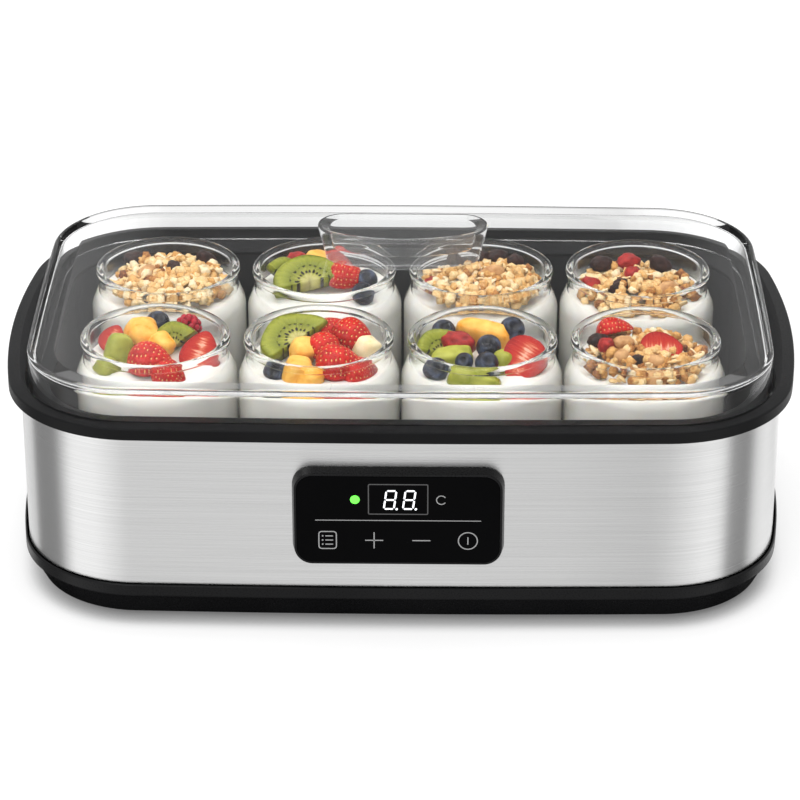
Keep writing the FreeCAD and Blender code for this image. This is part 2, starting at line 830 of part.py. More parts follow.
def make_steel_band():
    """Thin band between base and collar, cut out for the control unit and the bushing."""
    body = new_body("steel_band")
    ring = outline_sketch(body, "band_ring", band_plan, band_low)
    add_outline(ring, inside_band_plan)
    add_pad(body, ring, band_height)
    margin = s.cutout_gap - s.housing_wall
    window = box_sketch(body, "band_window", zero, panel_middle, s.panel_half_width + margin,
                        s.panel_half_height + margin, s.panel_corner_radius + margin,
                        "XZ_Plane", collar_half_depth)
    add_pocket(body, window, s.collar_overhang + s.tub_wall + s.band_thickness)
    # Slot for the bushing, open at the band's lower edge
    slot_half = s.gland_neck_radius + s.gland_hole_gap
    slot = new_sketch(body, "band_gland_slot", "XZ_Plane", -1 * tub_half_depth)
    add_polygon(slot, [
        (s.gland_x - slot_half, band_low), (s.gland_x + slot_half, band_low),
        (s.gland_x + slot_half, gland_middle + slot_half), (s.gland_x - slot_half, gland_middle + slot_half),
    ])
    add_pocket(body, slot, collar_half_depth - tub_half_depth)
    keep(body, "steel_band")


def make_collar():
    """Rim that overhangs the band, slopes to its edge and has a stepped seat for the lid."""
    body = new_body("top_collar")
    rim_edge = collar_top - s.collar_slope
    rim = outline_sketch(body, "collar_rim", collar_plan, band_high)
    add_pad(body, rim, s.collar_height - s.collar_slope)
    slope_low = outline_sketch(body, "collar_slope_low", collar_plan, rim_edge)
    slope_plan = collar_plan.inset(s.collar_slope_width)
    slope_high = outline_sketch(body, "collar_slope_high", slope_plan, collar_top)
    add_loft(body, slope_low, slope_high)
    inner = outline_sketch(body, "collar_inner", locating_plan, ledge_under - s.collar_skirt)
    add_pad(body, inner, collar_top - ledge_under + s.collar_skirt - s.collar_slope)
    skirt_hollow = outline_sketch(body, "collar_skirt_hollow", locating_plan.inset(s.collar_skirt_wall),
                                  ledge_under)
    add_pocket(body, skirt_hollow, s.collar_skirt)
    rebate = outline_sketch(body, "collar_rebate", rebate_plan, collar_top)
    add_pocket(body, rebate, collar_top - ledge)
    well = outline_sketch(body, "collar_well", tub_plan, collar_top)
    add_pocket(body, well, collar_top - ledge_under)
    round_edges(body, s.collar_edge_radius, level_at(rim_edge))
    keep(body, "top_collar")


def make_tub():
    """Well with a flange under the collar, seats for the jars and screw posts."""
    body = new_body("inner_tub")
    add_pad(body, outline_sketch(body, "tub_block", tub_outer_plan, tub_under), ledge_under - tub_under)
    flange = outline_sketch(body, "tub_flange", tub_flange_plan, ledge_under - s.tub_flange_thickness)
    add_pad(body, flange, s.tub_flange_thickness)
    well = outline_sketch(body, "tub_well", tub_plan, ledge_under)
    add_pocket(body, well, ledge_under - tub_top)
    round_edges(body, s.tub_floor_radius, level_at(tub_top))
    places = [(column * jar_pitch_x, row * jar_pitch_y) for row in jar_rows for column in jar_columns]
    seat_radius = s.jar_radius - s.jar_base_corner + s.seat_clearance
    seats = circles_sketch(body, "tub_seats", places, seat_radius, offset=tub_top)
    add_pocket(body, seats, s.seat_depth)
    posts = circles_sketch(body, "tub_posts", post_places, s.post_radius, offset=post_low)
    add_pad(body, posts, tub_under - post_low)
    hole_depth = base_under + s.counterbore_depth + s.screw_length + s.screw_clearance - post_low
    holes = circles_sketch(body, "tub_post_holes", post_places, s.screw_shank_radius + s.thread_clearance,
                           offset=post_low)
    add_pocket(body, holes, hole_depth, against=True)
    keep(body, "inner_tub")


def make_jar(label, x, y):
    """Glass jar with a push-up base, a rounded shoulder, a short neck and a beaded rim."""
    body = new_body(label)
    sketch = new_sketch(body, f"{label}_profile", "XZ_Plane")
    rim_low = s.jar_height - s.jar_rim_height
    inner_neck = jar_neck_radius - s.jar_wall
    add_polygon(sketch, [
        (zero, s.jar_push_up),
        (jar_foot_radius, s.jar_push_up),
        (jar_foot_radius + s.jar_push_up, zero),
        (s.jar_radius, zero),
        (s.jar_radius, shoulder_low),
        (jar_neck_radius, shoulder_high),
        (jar_neck_radius, rim_low),
        (jar_rim_radius, rim_low),
        (jar_rim_radius, s.jar_height),
        (inner_neck, s.jar_height),
        (inner_neck, shoulder_high),
        (jar_inner_radius, shoulder_low),
        (jar_inner_radius, s.jar_floor + s.jar_inner_corner),
        (jar_inner_radius - s.jar_inner_corner, s.jar_floor),
        (zero, s.jar_floor),
    ])
    add_turned(body, sketch)

    def ring_at(radius, height, tolerance=0.01):
        """Picks the round edge of a radius at a height."""
        level = level_at(height, tolerance)
        return lambda edge: level(edge) and abs(edge.BoundBox.XMax - radius.number) < tolerance

    round_edges(body, s.jar_base_corner, ring_at(s.jar_radius, zero))
    round_edges(body, s.jar_shoulder_round, ring_at(s.jar_radius, shoulder_low))
    round_edges(body, s.jar_rim_round, ring_at(jar_rim_radius, s.jar_height))
    place_at(body, x, y, jar_low)
    keep(body, label)


def make_yogurt(label, x, y):
    """Set yogurt that follows the inside of a jar up to part of the shoulder's height."""
    body = new_body(label)
    sketch = new_sketch(body, f"{label}_profile", "XZ_Plane")
    low = s.jar_floor + s.yogurt_gap
    side = jar_inner_radius - s.yogurt_gap
    surface_radius = side - s.jar_neck_step * (yogurt_level - shoulder_low) / s.jar_shoulder_height
    add_polygon(sketch, [
        (zero, low),
        (side - s.jar_inner_corner, low),
        (side, low + s.jar_inner_corner),
        (side, shoulder_low),
        (surface_radius, yogurt_level),
        (zero, yogurt_level),
    ])
    add_turned(body, sketch)
    place_at(body, x, y, jar_low)
    keep(body, label)


def make_jars():
    """The jars of both rows, each with its yogurt."""
    number = 0
    for row in jar_rows:
        for column in jar_columns:
            number += 1
            make_jar(f"jar_{number}", column * jar_pitch_x, row * jar_pitch_y)
            make_yogurt(f"yogurt_{number}", column * jar_pitch_x, row * jar_pitch_y)


def make_lid():
    """Clear shell: drafted wall, rounded ridge, border that slopes in to a sunk flat panel."""
    body = new_body("lid_shell")
    foot = outline_sketch(body, "lid_foot", lid_foot_plan, lid_low)
    top = outline_sketch(body, "lid_ridge", lid_plan, lid_top)
    add_loft(body, foot, top)
    hollow_low = outline_sketch(body, "lid_hollow_low", lid_foot_plan.inset(s.lid_wall), lid_low)
    hollow_high = outline_sketch(body, "lid_hollow_high", lid_plan.inset(s.lid_wall), lid_panel_under)
    add_loft(body, hollow_low, hollow_high, cut=True)
    border_high = outline_sketch(body, "lid_border_high", lid_plan.inset(s.ridge_width), lid_top)
    border_low = outline_sketch(body, "lid_border_low", lid_plan.inset(s.border_width), lid_panel)
    add_loft(body, border_high, border_low, cut=True)
    round_edges(body, s.lid_edge_radius, level_at(lid_top))
    keep(body, "lid_shell")


def make_handle():
    """Clear hollow grip: an outer wall that narrows to its foot and a dished, open top."""
    body = new_body("lid_handle")
    top = lid_panel + s.handle_height

    def ring(name, inset, height):
        sketch = new_sketch(body, name, offset=height)
        add_bowed_front(sketch, handle_y, s.handle_half_length - inset, s.handle_half_depth - inset,
                        s.handle_corner_radius - inset)
        return sketch

    add_loft(body, ring("handle_foot", s.handle_taper, lid_panel), ring("handle_top", zero, top))
    dish_low = top - s.handle_dish_drop
    add_loft(body, ring("handle_lip", s.handle_lip, top),
             ring("handle_dish", s.handle_dish_width, dish_low), cut=True)
    hollow_inset = s.handle_dish_width + s.handle_hollow_taper
    add_loft(body, ring("handle_hollow_high", s.handle_dish_width, dish_low),
             ring("handle_hollow_low", hollow_inset, top - s.handle_hollow), cut=True)
    round_edges(body, s.handle_edge_radius, level_at(top - s.handle_hollow))
    keep(body, "lid_handle")


def make_heater():
    """Spreader plate, heating cord laid in parallel runs, and the mat below it."""
    plate = new_body("heater_plate")
    face = box_sketch(plate, "plate_face", zero, zero, plate_half_length, plate_half_depth,
                      s.plate_corner_radius, offset=plate_under)
    add_pad(plate, face, s.plate_thickness)
    keep(plate, "heater_plate")

    runs = int(s.element_runs.number)
    height = element_middle.number
    reach = element_half_length.number
    pitch = element_pitch.number
    first_y = -0.5 * (runs - 1) * pitch
    tail = reach + 0.5 * pitch + s.element_tail.number
    edges = []
    for run in range(runs):
        y = first_y + run * pitch
        side = 1 if run % 2 == 0 else -1
        start = V(tail if run == 0 else side * reach, y, height)
        end = V(tail if run == runs - 1 else -side * reach, y, height)
        edges.append(Part.LineSegment(start, end).toShape())
        if run < runs - 1:
            middle = V(-side * (reach + 0.5 * pitch), y + 0.5 * pitch, height)
            edges.append(Part.Arc(end, middle, V(-side * reach, y + pitch, height)).toShape())
    element = doc.addObject("Part::Feature", "heating_element_run")
    element.Shape = tube_along(Part.Wire(edges), s.element_radius.number)
    keep(element, "heating_element")

    mat = new_body("insulation_mat")
    mat_face = box_sketch(mat, "mat_face", zero, zero, plate_half_length - s.mat_margin,
                          plate_half_depth - s.mat_margin * 0.5, s.plate_corner_radius - s.mat_margin * 0.5,
                          offset=mat_top - s.mat_thickness)
    add_pad(mat, mat_face, s.mat_thickness)
    slot_half = s.sensor_spacing * 0.5 + s.fuse_length
    slot_rise = s.sensor_radius + s.strap_thickness + s.strap_foot + s.mat_slot_margin * 0.5
    slot = box_sketch(mat, "mat_slot", zero, zero, slot_half + s.mat_slot_margin, slot_rise,
                      s.mat_slot_margin, offset=mat_top)
    add_pocket(mat, slot, s.mat_thickness)
    keep(mat, "insulation_mat")


def make_strapped(label, strap_label, radius, length, x):
    """A round can that lies under the plate and the bent strap that holds it there."""
    middle = plate_under - s.strap_gap - radius
    can = turned_cylinder(f"{label}_can", radius, length, x - length * 0.5, zero, middle, V(1, 0, 0))
    keep(can, label)
    strap = new_body(strap_label)
    sketch = new_sketch(strap, f"{strap_label}_side", "YZ_Plane", x - s.strap_width * 0.5)
    inner = radius + s.strap_gap
    outer = inner + s.strap_thickness
    reach = outer + s.strap_foot
    foot = plate_under - s.strap_thickness
    low = middle - outer
    add_polygon(sketch, [
        (-1 * reach, plate_under), (-1 * inner, plate_under), (-1 * inner, low + s.strap_thickness),
        (inner, low + s.strap_thickness), (inner, plate_under), (reach, plate_under),
        (reach, foot), (outer, foot), (outer, low), (-1 * outer, low), (-1 * outer, foot), (-1 * reach, foot),
    ])
    add_pad(strap, sketch, s.strap_width)
    keep(strap, strap_label)


def make_control_housing():
    """Drafted frame on the band with a recess for the touch face, a holed web and a spigot."""
    body = new_body("control_housing")
    rear = band_front + s.panel_rest_gap

    def frame(name, change, depth):
        return box_sketch(body, name, zero, panel_middle, s.panel_half_width + change,
                          s.panel_half_height + change, s.panel_corner_radius + change, "XZ_Plane", depth)

    add_loft(body, frame("housing_rear", s.panel_draft, rear), frame("housing_front", zero, panel_face))
    round_edges(body, s.panel_edge_radius, facing_at(panel_face))
    spigot = frame("housing_spigot", -1 * s.housing_wall, rear)
    add_pad(body, spigot, s.spigot_depth + s.panel_rest_gap, down=True)
    # Catches that snap behind the edge of the band's opening
    catches = new_sketch(body, "housing_catches", "XZ_Plane", band_front - s.band_thickness - s.part_gap)
    spigot_half_height = s.panel_half_height - s.housing_wall
    for side in (-1, 1):
        for face in (-1, 1):
            add_rounded_box(catches, side * s.catch_x, panel_middle + face * spigot_half_height,
                            s.catch_half_width, s.catch_rise, s.part_gap)
    add_pad(body, catches, s.catch_depth, down=True)
    inside = s.housing_wall + s.spigot_wall
    hollow = frame("housing_hollow", -1 * inside, web_back)
    add_pocket(body, hollow, web_back - band_front + s.spigot_depth)
    recess = frame("housing_recess", -1 * s.lens_border, panel_face)
    add_pocket(body, recess, s.lens_thickness)
    bosses = circles_sketch(body, "housing_bosses", lifted(board_boss_places), s.board_boss_radius,
                            "XZ_Plane", board_front)
    add_pad(body, bosses, web_back - board_front)
    pilots = circles_sketch(body, "housing_pilots", lifted(board_boss_places),
                            s.board_screw_radius + s.thread_clearance, "XZ_Plane", board_front)
    add_pocket(body, pilots, s.board_screw_length - s.board_thickness + s.part_gap, against=True)
    window = box_sketch(body, "housing_window", zero, panel_middle + s.display_height,
                        s.display_half_width + s.part_gap, s.display_half_height + s.part_gap,
                        s.part_gap, "XZ_Plane", lens_back)
    add_pocket(body, window, s.web_thickness)
    lamp_holes = circles_sketch(body, "housing_lamp_holes", lifted(lamp_places), s.lamp_radius + s.part_gap,
                                "XZ_Plane", lens_back)
    add_pocket(body, lamp_holes, s.web_thickness)
    key_holes = circles_sketch(body, "housing_key_holes", lifted(key_places), s.key_radius + s.part_gap,
                               "XZ_Plane", lens_back)
    add_pocket(body, key_holes, s.web_thickness)
    keep(body, "control_housing")


def lifted(places):
    """Places on the control face, raised to the height of its middle."""
    return [(across, panel_middle + up) for across, up in places]


def make_control_parts():
    """Touch face, display, lamps, foam posts, board, its screws and the sounder."""
    lens = new_body("control_lens")
    change = s.lens_border + s.lens_gap
    face = box_sketch(lens, "lens_face", zero, panel_middle, s.panel_half_width - change,
                      s.panel_half_height - change, s.panel_corner_radius - change, "XZ_Plane", lens_back)
    add_pad(lens, face, s.lens_thickness)
    keep(lens, "control_lens")

    board = new_body("control_board")
    inside = s.housing_wall + s.spigot_wall + s.board_gap
    outline = box_sketch(board, "board_face", zero, panel_middle, s.panel_half_width - inside,
                         s.panel_half_height - inside, s.panel_corner_radius - inside, "XZ_Plane", board_back)
    add_pad(board, outline, s.board_thickness)
    holes = circles_sketch(board, "board_holes", lifted(board_boss_places),
                           s.board_screw_radius + s.thread_clearance, "XZ_Plane", board_front)
    add_pocket(board, holes, s.board_thickness)
    keep(board, "control_board")

    reach = lens_back - board_front - s.part_gap
    display = new_body("display_module")
    block = box_sketch(display, "display_face", zero, panel_middle + s.display_height, s.display_half_width,
                       s.display_half_height, s.part_gap, "XZ_Plane", board_front)
    add_pad(display, block, reach)
    keep(display, "display_module")

    forward = V(0, -1, 0)
    lamps = [
        turned_cylinder(f"lamp_{index}", s.lamp_radius, reach, x, -1 * board_front, z, forward)
        for index, (x, z) in enumerate(lifted(lamp_places), start=1)
    ]
    keep(grouped("status_lamps_group", lamps), "status_lamps")
    foams = [
        turned_cylinder(f"foam_{index}", s.key_radius, reach, x, -1 * board_front, z, forward)
        for index, (x, z) in enumerate(lifted(key_places), start=1)
    ]
    keep(grouped("touch_foams_group", foams), "touch_foams")
    screws = []
    for index, (x, z) in enumerate(lifted(board_boss_places), start=1):
        head = turned_cylinder(f"board_screw_head_{index}", s.board_screw_head, s.board_screw_head_height,
                               x, s.board_screw_head_height - board_back, z, forward)
        shank = turned_cylinder(f"board_screw_shank_{index}", s.board_screw_radius, s.board_screw_length,
                                x, -1 * board_back, z, forward)
        screws.append(fused(f"board_screw_{index}", [head, shank]))
    keep(grouped("board_screws_group", screws), "board_screws")
    buzzer = turned_cylinder("buzzer_can", s.buzzer_radius, s.buzzer_height, zero, -1 * board_back,
                             panel_middle - s.key_drop, V(0, 1, 0))
    keep(buzzer, "buzzer")


def make_gland():
    """Bushing: a turned nose and inner flange, and a plate that closes the band's slot below."""
    body = new_body("cord_gland")
    sketch = new_sketch(body, "gland_profile")
    # The bowed band lies further in at the bushing than at its middle
    bow = s.front_bow_radius - s.collar_overhang
    fall = bow.number - math.sqrt(bow.number ** 2 - s.gland_x.number ** 2)
    fall_text = f"({bow.text} - sqrt({bow.text} ^ 2 - {s.gland_x.text} ^ 2))"
    outside_face = band_front - Size(fall, fall_text)
    nose = band_front + s.gland_reach
    flange = outside_face + s.seat_gap + s.gland_flange_thickness
    groove_in = outside_face - s.band_thickness - s.seat_gap
    inner_end = groove_in - s.gland_inner_length
    add_polygon(sketch, [
        (s.gland_bore_radius, inner_end),
        (s.gland_neck_radius, inner_end),
        (s.gland_inner_radius, groove_in),
        (s.gland_neck_radius, groove_in),
        (s.gland_neck_radius, outside_face + s.seat_gap),
        (s.gland_flange_radius, outside_face + s.seat_gap),
        (s.gland_flange_radius, flange),
        (s.gland_root_radius, flange),
        (s.gland_nose_radius, nose),
        (s.gland_bore_radius, nose),
    ])
    add_turned(body, sketch)
    low = s.seat_gap - s.gland_height
    plates = (
        ("gland_tongue", s.gland_neck_radius, outside_face - s.band_thickness * 0.5),
        ("gland_plate", s.gland_flange_radius, outside_face + s.seat_gap),
    )
    for name, half_width, back in plates:
        plate = new_sketch(body, name, "XZ_Plane", -1 * back)
        add_polygon(plate, [
            (-1 * half_width, low), (half_width, low),
            (half_width, -1 * s.gland_bore_radius - s.gland_flange_thickness),
            (-1 * half_width, -1 * s.gland_bore_radius - s.gland_flange_thickness),
        ])
        add_pad(body, plate, flange - back, down=True)
    place_at(body, s.gland_x, zero, gland_middle)
    keep(body, "cord_gland")


def make_supply():
    """Supply board on its standoffs with the parts that stand on it."""
    board = new_body("power_board")
    face = box_sketch(board, "supply_face", s.supply_x, s.supply_y, s.supply_half_length, s.supply_half_depth,
                      s.supply_corner_radius, offset=supply_under)
    add_pad(board, face, s.board_thickness)
    holes = circles_sketch(board, "supply_holes", standoff_places, s.board_screw_radius + s.thread_clearance,
                           offset=supply_top)
    add_pocket(board, holes, s.board_thickness)
    keep(board, "power_board")
    screws = []
    for index, (x, y) in enumerate(standoff_places, start=1):
        head = upright_cylinder(f"supply_screw_head_{index}", s.board_screw_head, s.board_screw_head_height,
                                x, y, supply_top)
        shank = upright_cylinder(f"supply_screw_shank_{index}", s.board_screw_radius, s.board_screw_length,
                                 x, y, supply_top - s.board_screw_length)
        screws.append(fused(f"supply_screw_{index}", [head, shank]))
    keep(grouped("supply_screws_group", screws), "supply_screws")

    film = new_body("film_capacitor")
    film_x = s.supply_x - s.supply_half_length * 0.5
    film_face = box_sketch(film, "film_face", film_x, s.supply_y, s.film_length * 0.5, s.film_depth * 0.5,
                           s.film_edge_radius, offset=supply_top)
    add_pad(film, film_face, s.film_height)
    keep(film, "film_capacitor")

    can_y = s.supply_y - s.smoothing_offset
    can = turned_cylinder("smoothing_can", s.smoothing_radius, s.smoothing_length,
                          film_x - s.smoothing_length * 0.5, can_y,
                          supply_top + s.smoothing_radius + s.strap_gap, V(1, 0, 0))
    keep(can, "smoothing_capacitor")

    triac = new_body("power_triac")
    triac_x = s.supply_x + s.supply_half_length * 0.5
    triac_y = s.supply_y - s.supply_half_depth * 0.5
    case = box_sketch(triac, "triac_case", triac_x, triac_y, s.triac_width * 0.5, s.triac_length * 0.5,
                      s.part_gap, offset=supply_top)
    add_pad(triac, case, s.triac_height)
    tab_y = triac_y + s.triac_length * 0.5 + s.triac_tab_length * 0.5
    tab = box_sketch(triac, "triac_tab", triac_x, tab_y, s.triac_width * 0.5, s.triac_tab_length * 0.5,
                     s.part_gap, offset=supply_top)
    add_pad(triac, tab, s.triac_tab_thickness)
    tab_hole = circles_sketch(triac, "triac_tab_hole", [(triac_x, tab_y)], s.triac_tab_hole,
                              offset=supply_top + s.triac_tab_thickness)
    add_pocket(triac, tab_hole, s.triac_tab_thickness)
    keep(triac, "power_triac")

    block = new_body("terminal_block")
    block_y = s.supply_y + s.supply_half_depth - s.terminal_depth * 0.5
    block_face = box_sketch(block, "terminal_face", s.supply_x, block_y, s.terminal_length * 0.5,
                            s.terminal_depth * 0.5, s.part_gap, offset=supply_top)
    add_pad(block, block_face, s.terminal_height)
    entries = [
        (s.supply_x + step * s.terminal_pitch, supply_top + s.terminal_height * 0.5) for step in (-1, 0, 1)
    ]
    entry_holes = circles_sketch(block, "terminal_entries", entries, s.terminal_entry_radius, "XZ_Plane",
                                 -1 * (block_y - s.terminal_back_wall))
    add_pocket(block, entry_holes, s.terminal_depth)
    keep(block, "terminal_block")


def make_leads():
    """Two leads from the supply board to the heating cord and the bundle to the control board."""
    level = supply_under + s.board_thickness * 0.5
    board_side = s.supply_x + s.supply_half_length
    tail_x = element_half_length + element_pitch * 0.5 + s.element_tail
    run_y = 0.5 * (s.element_runs - 1) * element_pitch
    leads = []
    for side in (-1, 1):
        landing_y = s.supply_y + side * s.lead_reach
        points = [
            point(tail_x, side * run_y, element_middle),
            point(lead_drop_x, side * run_y, element_middle),
            point(lead_drop_x, side * run_y, level),
            point(lead_drop_x, landing_y, level),
            point(board_side, landing_y, level),
        ]
        bend = min(s.lead_bend.number, bend_share * (element_middle.number - level.number))
        leads.append(tube_along(bent_path(points, bend), s.lead_radius.number))
    pair = doc.addObject("Part::Feature", "heater_leads_pair")
    pair.Shape = Part.makeCompound(leads)
    keep(pair, "heater_leads")

    drop_y = s.harness_fall - board_back
    start_height = panel_middle - s.harness_start
    board_edge = s.supply_y - s.supply_half_depth
    landing_x = s.supply_x - s.harness_landing
    turn_y = board_edge - s.supply_half_depth
    points = [
        point(s.harness_x, -1 * board_back, start_height),
        point(s.harness_x, drop_y, start_height),
        point(s.harness_x, drop_y, level),
        point(s.harness_x, turn_y, level),
        point(landing_x, turn_y, level),
        point(landing_x, board_edge, level),
    ]
    crossing = abs(landing_x.number - s.harness_x.number)
    bend = min(s.harness_bend.number, bend_share * crossing, 2 * bend_share * s.harness_fall.number)
    harness = doc.addObject("Part::Feature", "control_harness_run")
    harness.Shape = tube_along(bent_path(points, bend), s.harness_radius.number)
    keep(harness, "control_harness")


make_base_tray()
make_feet_and_screws()
make_steel_band()
make_collar()
make_tub()
make_jars()
make_lid()
make_handle()
make_heater()
make_strapped("temperature_sensor", "sensor_clip", s.sensor_radius, s.sensor_length, s.sensor_spacing * -0.5)
make_strapped("thermal_fuse", "fuse_clip", s.fuse_radius, s.fuse_length, s.sensor_spacing * 0.5)
make_control_housing()
make_control_parts()
make_gland()
make_supply()
make_leads()
doc.recompute()

# Nothing is written unless every feature was made and every sub-part is a valid solid
for item in doc.Objects:
    if "Invalid" in item.State or "Error" in item.State:
        raise RuntimeError(f"{item.Label} failed: {item.State}")
for label, item in nodes.items():
    if item.Shape.isNull() or not item.Shape.isValid() or not item.Shape.Solids:
        raise RuntimeError(f"{label} has no valid solid")

os.makedirs("parts", exist_ok=True)
for label, item in nodes.items():
    item.Shape.exportStep(f"parts/{label}.step")
    print(label, len(item.Shape.Solids), round(item.Shape.Volume, 1))
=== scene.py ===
import math

import bpy
import numpy as np
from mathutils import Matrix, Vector


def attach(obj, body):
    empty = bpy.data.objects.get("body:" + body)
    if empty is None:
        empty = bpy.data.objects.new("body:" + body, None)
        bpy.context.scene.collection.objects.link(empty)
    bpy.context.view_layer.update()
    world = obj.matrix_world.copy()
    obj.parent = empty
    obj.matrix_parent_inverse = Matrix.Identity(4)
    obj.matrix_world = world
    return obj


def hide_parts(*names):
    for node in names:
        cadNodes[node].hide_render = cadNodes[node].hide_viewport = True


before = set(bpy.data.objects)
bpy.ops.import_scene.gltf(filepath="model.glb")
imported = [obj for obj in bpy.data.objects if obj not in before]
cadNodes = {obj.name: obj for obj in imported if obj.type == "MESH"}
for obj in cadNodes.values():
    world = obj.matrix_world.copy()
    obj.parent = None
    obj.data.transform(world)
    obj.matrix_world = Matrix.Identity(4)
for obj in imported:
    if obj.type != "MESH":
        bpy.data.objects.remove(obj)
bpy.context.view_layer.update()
scene = bpy.context.scene
mm = 0.001
print("frame loaded:", len(cadNodes), "nodes")


# Nodes and materials

black, white = (0.0, 0.0, 0.0), (1.0, 1.0, 1.0)
noiseRange = (0.3, 0.7)  # holds most of a noise's values


def feed(tree, socket, value):
    # An output is wired to the socket; a number or colour is set on it
    if isinstance(value, bpy.types.NodeSocket):
        tree.links.new(value, socket)
    else:
        socket.default_value = (*value, 1.0) if socket.type == "RGBA" else value


def addNode(tree, kind, inputs=None, **settings):
    # A node with its settings, then its sockets by name or number
    node = tree.nodes.new(kind)
    for name, value in settings.items():
        setattr(node, name, value)
    for socket, value in (inputs or {}).items():
        feed(tree, node.inputs[socket], value)
    return node


def mixColors(tree, share, first, second):
    # From the first colour to the second while the share goes from 0 to 1
    return addNode(tree, "ShaderNodeMix", {0: share, 6: first, 7: second}, data_type="RGBA").outputs[2]


def mapValue(tree, value, fromLow, fromHigh, toLow=0.0, toHigh=1.0):
    # A straight map from one range to another, held at both ends
    bounds = {"From Min": fromLow, "From Max": fromHigh, "To Min": toLow, "To Max": toHigh}
    return addNode(tree, "ShaderNodeMapRange", {"Value": value, **bounds}).outputs["Result"]


def spread(tree, noise, toLow=0.0, toHigh=1.0):
    # The usual range of a noise mapped to a range of its own
    return mapValue(tree, noise, *noiseRange, toLow, toHigh)


def combine(tree, first, second, operation="MULTIPLY"):
    # Two values joined by one operation
    return addNode(tree, "ShaderNodeMath", {0: first, 1: second}, operation=operation).outputs[0]


def attributeOf(tree, name, output="Fac"):
    # What a mesh holds under a name, at each point
    return addNode(tree, "ShaderNodeAttribute", attribute_name=name).outputs[output]


def placeOf(tree):
    # The place of each point in the object's own axes
    return addNode(tree, "ShaderNodeTexCoord").outputs["Object"]


def noiseValue(tree, scale, detail=2.0, vector=None, stretch=None):
    # Noise at a place, which is the point's own unless one is given; stretch scales it along each axis
    vector = placeOf(tree) if vector is None else vector
    if stretch:
        vector = addNode(tree, "ShaderNodeMapping", {"Vector": vector, "Scale": stretch}).outputs["Vector"]
    inputs = {"Vector": vector, "Scale": scale, "Detail": detail}
    return addNode(tree, "ShaderNodeTexNoise", inputs).outputs["Fac"]


def makeGrainGroup(fineShare=0.3, slowShare=0.7):
    # Two noises: the fine one gives height and roughness, and both together let the colour drift
    group = bpy.data.node_groups.new("surfaceGrain", "ShaderNodeTree")
    sockets = {
        "INPUT": {"Vector": "Vector", "Grain Scale": "Float", "Drift Scale": "Float", "Dark": "Color",
                  "Light": "Color", "Rough Low": "Float", "Rough High": "Float"},
        "OUTPUT": {"Color": "Color", "Roughness": "Float", "Height": "Float"},
    }
    for side, kinds in sockets.items():
        for name, kind in kinds.items():
            group.interface.new_socket(name, in_out=side, socket_type="NodeSocket" + kind)
    given = addNode(group, "NodeGroupInput").outputs
    fine = noiseValue(group, given["Grain Scale"], 3.0, given["Vector"])
    slow = noiseValue(group, given["Drift Scale"], 2.0, given["Vector"])
    blend = combine(group, combine(group, fine, fineShare), combine(group, slow, slowShare), "ADD")
    addNode(group, "NodeGroupOutput", {
        "Color": mixColors(group, spread(group, blend), given["Dark"], given["Light"]),
        "Roughness": spread(group, fine, given["Rough Low"], given["Rough High"]),
        "Height": fine,
    })
    return group


grainGroup = makeGrainGroup()


def dress(tree, values):
    # Feeds the sockets of a material's shader
    for socket, value in values.items():
        feed(tree, tree.nodes["Principled BSDF"].inputs[socket], value)


def newMaterial(name, values):
    # A material whose shader has these values
    material = bpy.data.materials.new(name)
    material.use_nodes = True
    dress(material.node_tree, values)
    return material, material.node_tree


def bumpOf(tree, height, distance):
    # The normal that a height gives; the distance is in millimetres
    inputs = {"Strength": 1.0, "Distance": distance * mm, "Height": height}
    return addNode(tree, "ShaderNodeBump", inputs).outputs["Normal"]


def grainedFinish(name, dark, light, rough, grain=1500.0, drift=25.0, bump=0.02, gloss=0.5, metal=0.0):
    # Moulded or drawn surface: drifting colour, grain in roughness and height
    material, tree = newMaterial(name, {"Specular IOR Level": gloss, "Metallic": metal})
    grained = addNode(tree, "ShaderNodeGroup", {
        "Vector": placeOf(tree), "Grain Scale": grain, "Drift Scale": drift, "Dark": dark, "Light": light,
        "Rough Low": rough[0], "Rough High": rough[1],
    }, node_tree=grainGroup).outputs
    dress(tree, {"Base Color": grained["Color"], "Roughness": grained["Roughness"]})
    if bump:
        dress(tree, {"Normal": bumpOf(tree, grained["Height"], bump)})
    return material


def brushedFinish(name, dark, light, rough, along, across, bump):
    # Level hairlines: noise stretched along the band, so only height above the table changes it quickly
    material, tree = newMaterial(name, {"Metallic": 1.0, "Anisotropic": 0.85, "Anisotropic Rotation": 0.25})
    share = spread(tree, noiseValue(tree, 1.0, 4.0, stretch=(along, along, across)))
    dress(tree, {"Base Color": mixColors(tree, share, dark, light),
                 "Roughness": mapValue(tree, share, 0.0, 1.0, *rough), "Normal": bumpOf(tree, share, bump)})
    return material


clear = {"coatRough": 0.03, "smearScale": 55.0, "smearFrom": 0.45, "smearTo": 0.8, "cloudScale": 12.0}


def clearFinish(name, tint, edge, ior, smear, coat, through=1.0, rim=None, grazing=0.7):
    # Clear body: full or nearly full transmission with painted shade where it is seen edge on, and faint smears that
    # change the roughness a little. Its marked rounded rim gets a painted dark outline where it is seen from within
    material, tree = newMaterial(name, {
        "Transmission Weight": through, "IOR": ior, "Coat Weight": coat, "Coat Roughness": clear["coatRough"]})
    smears = noiseValue(tree, clear["smearScale"], 3.0)
    smears = mapValue(tree, smears, clear["smearFrom"], clear["smearTo"], 0.0, smear)
    middle = mixColors(tree, noiseValue(tree, clear["cloudScale"], 1.0), tint, white)
    facing = addNode(tree, "ShaderNodeLayerWeight").outputs["Facing"]
    # Painted shade: the colour goes to the edge colour where the wall is seen edge on
    color = mixColors(tree, mapValue(tree, facing, grazing, 1.0), middle, edge)
    if rim:
        # Painted dark outline: the marked rim takes the rim colour where it is seen from within
        within = addNode(tree, "ShaderNodeNewGeometry").outputs["Backfacing"]
        color = mixColors(tree, combine(tree, attributeOf(tree, "rim"), within), color, rim)
    dress(tree, {"Base Color": color, "Roughness": smears})
    return material


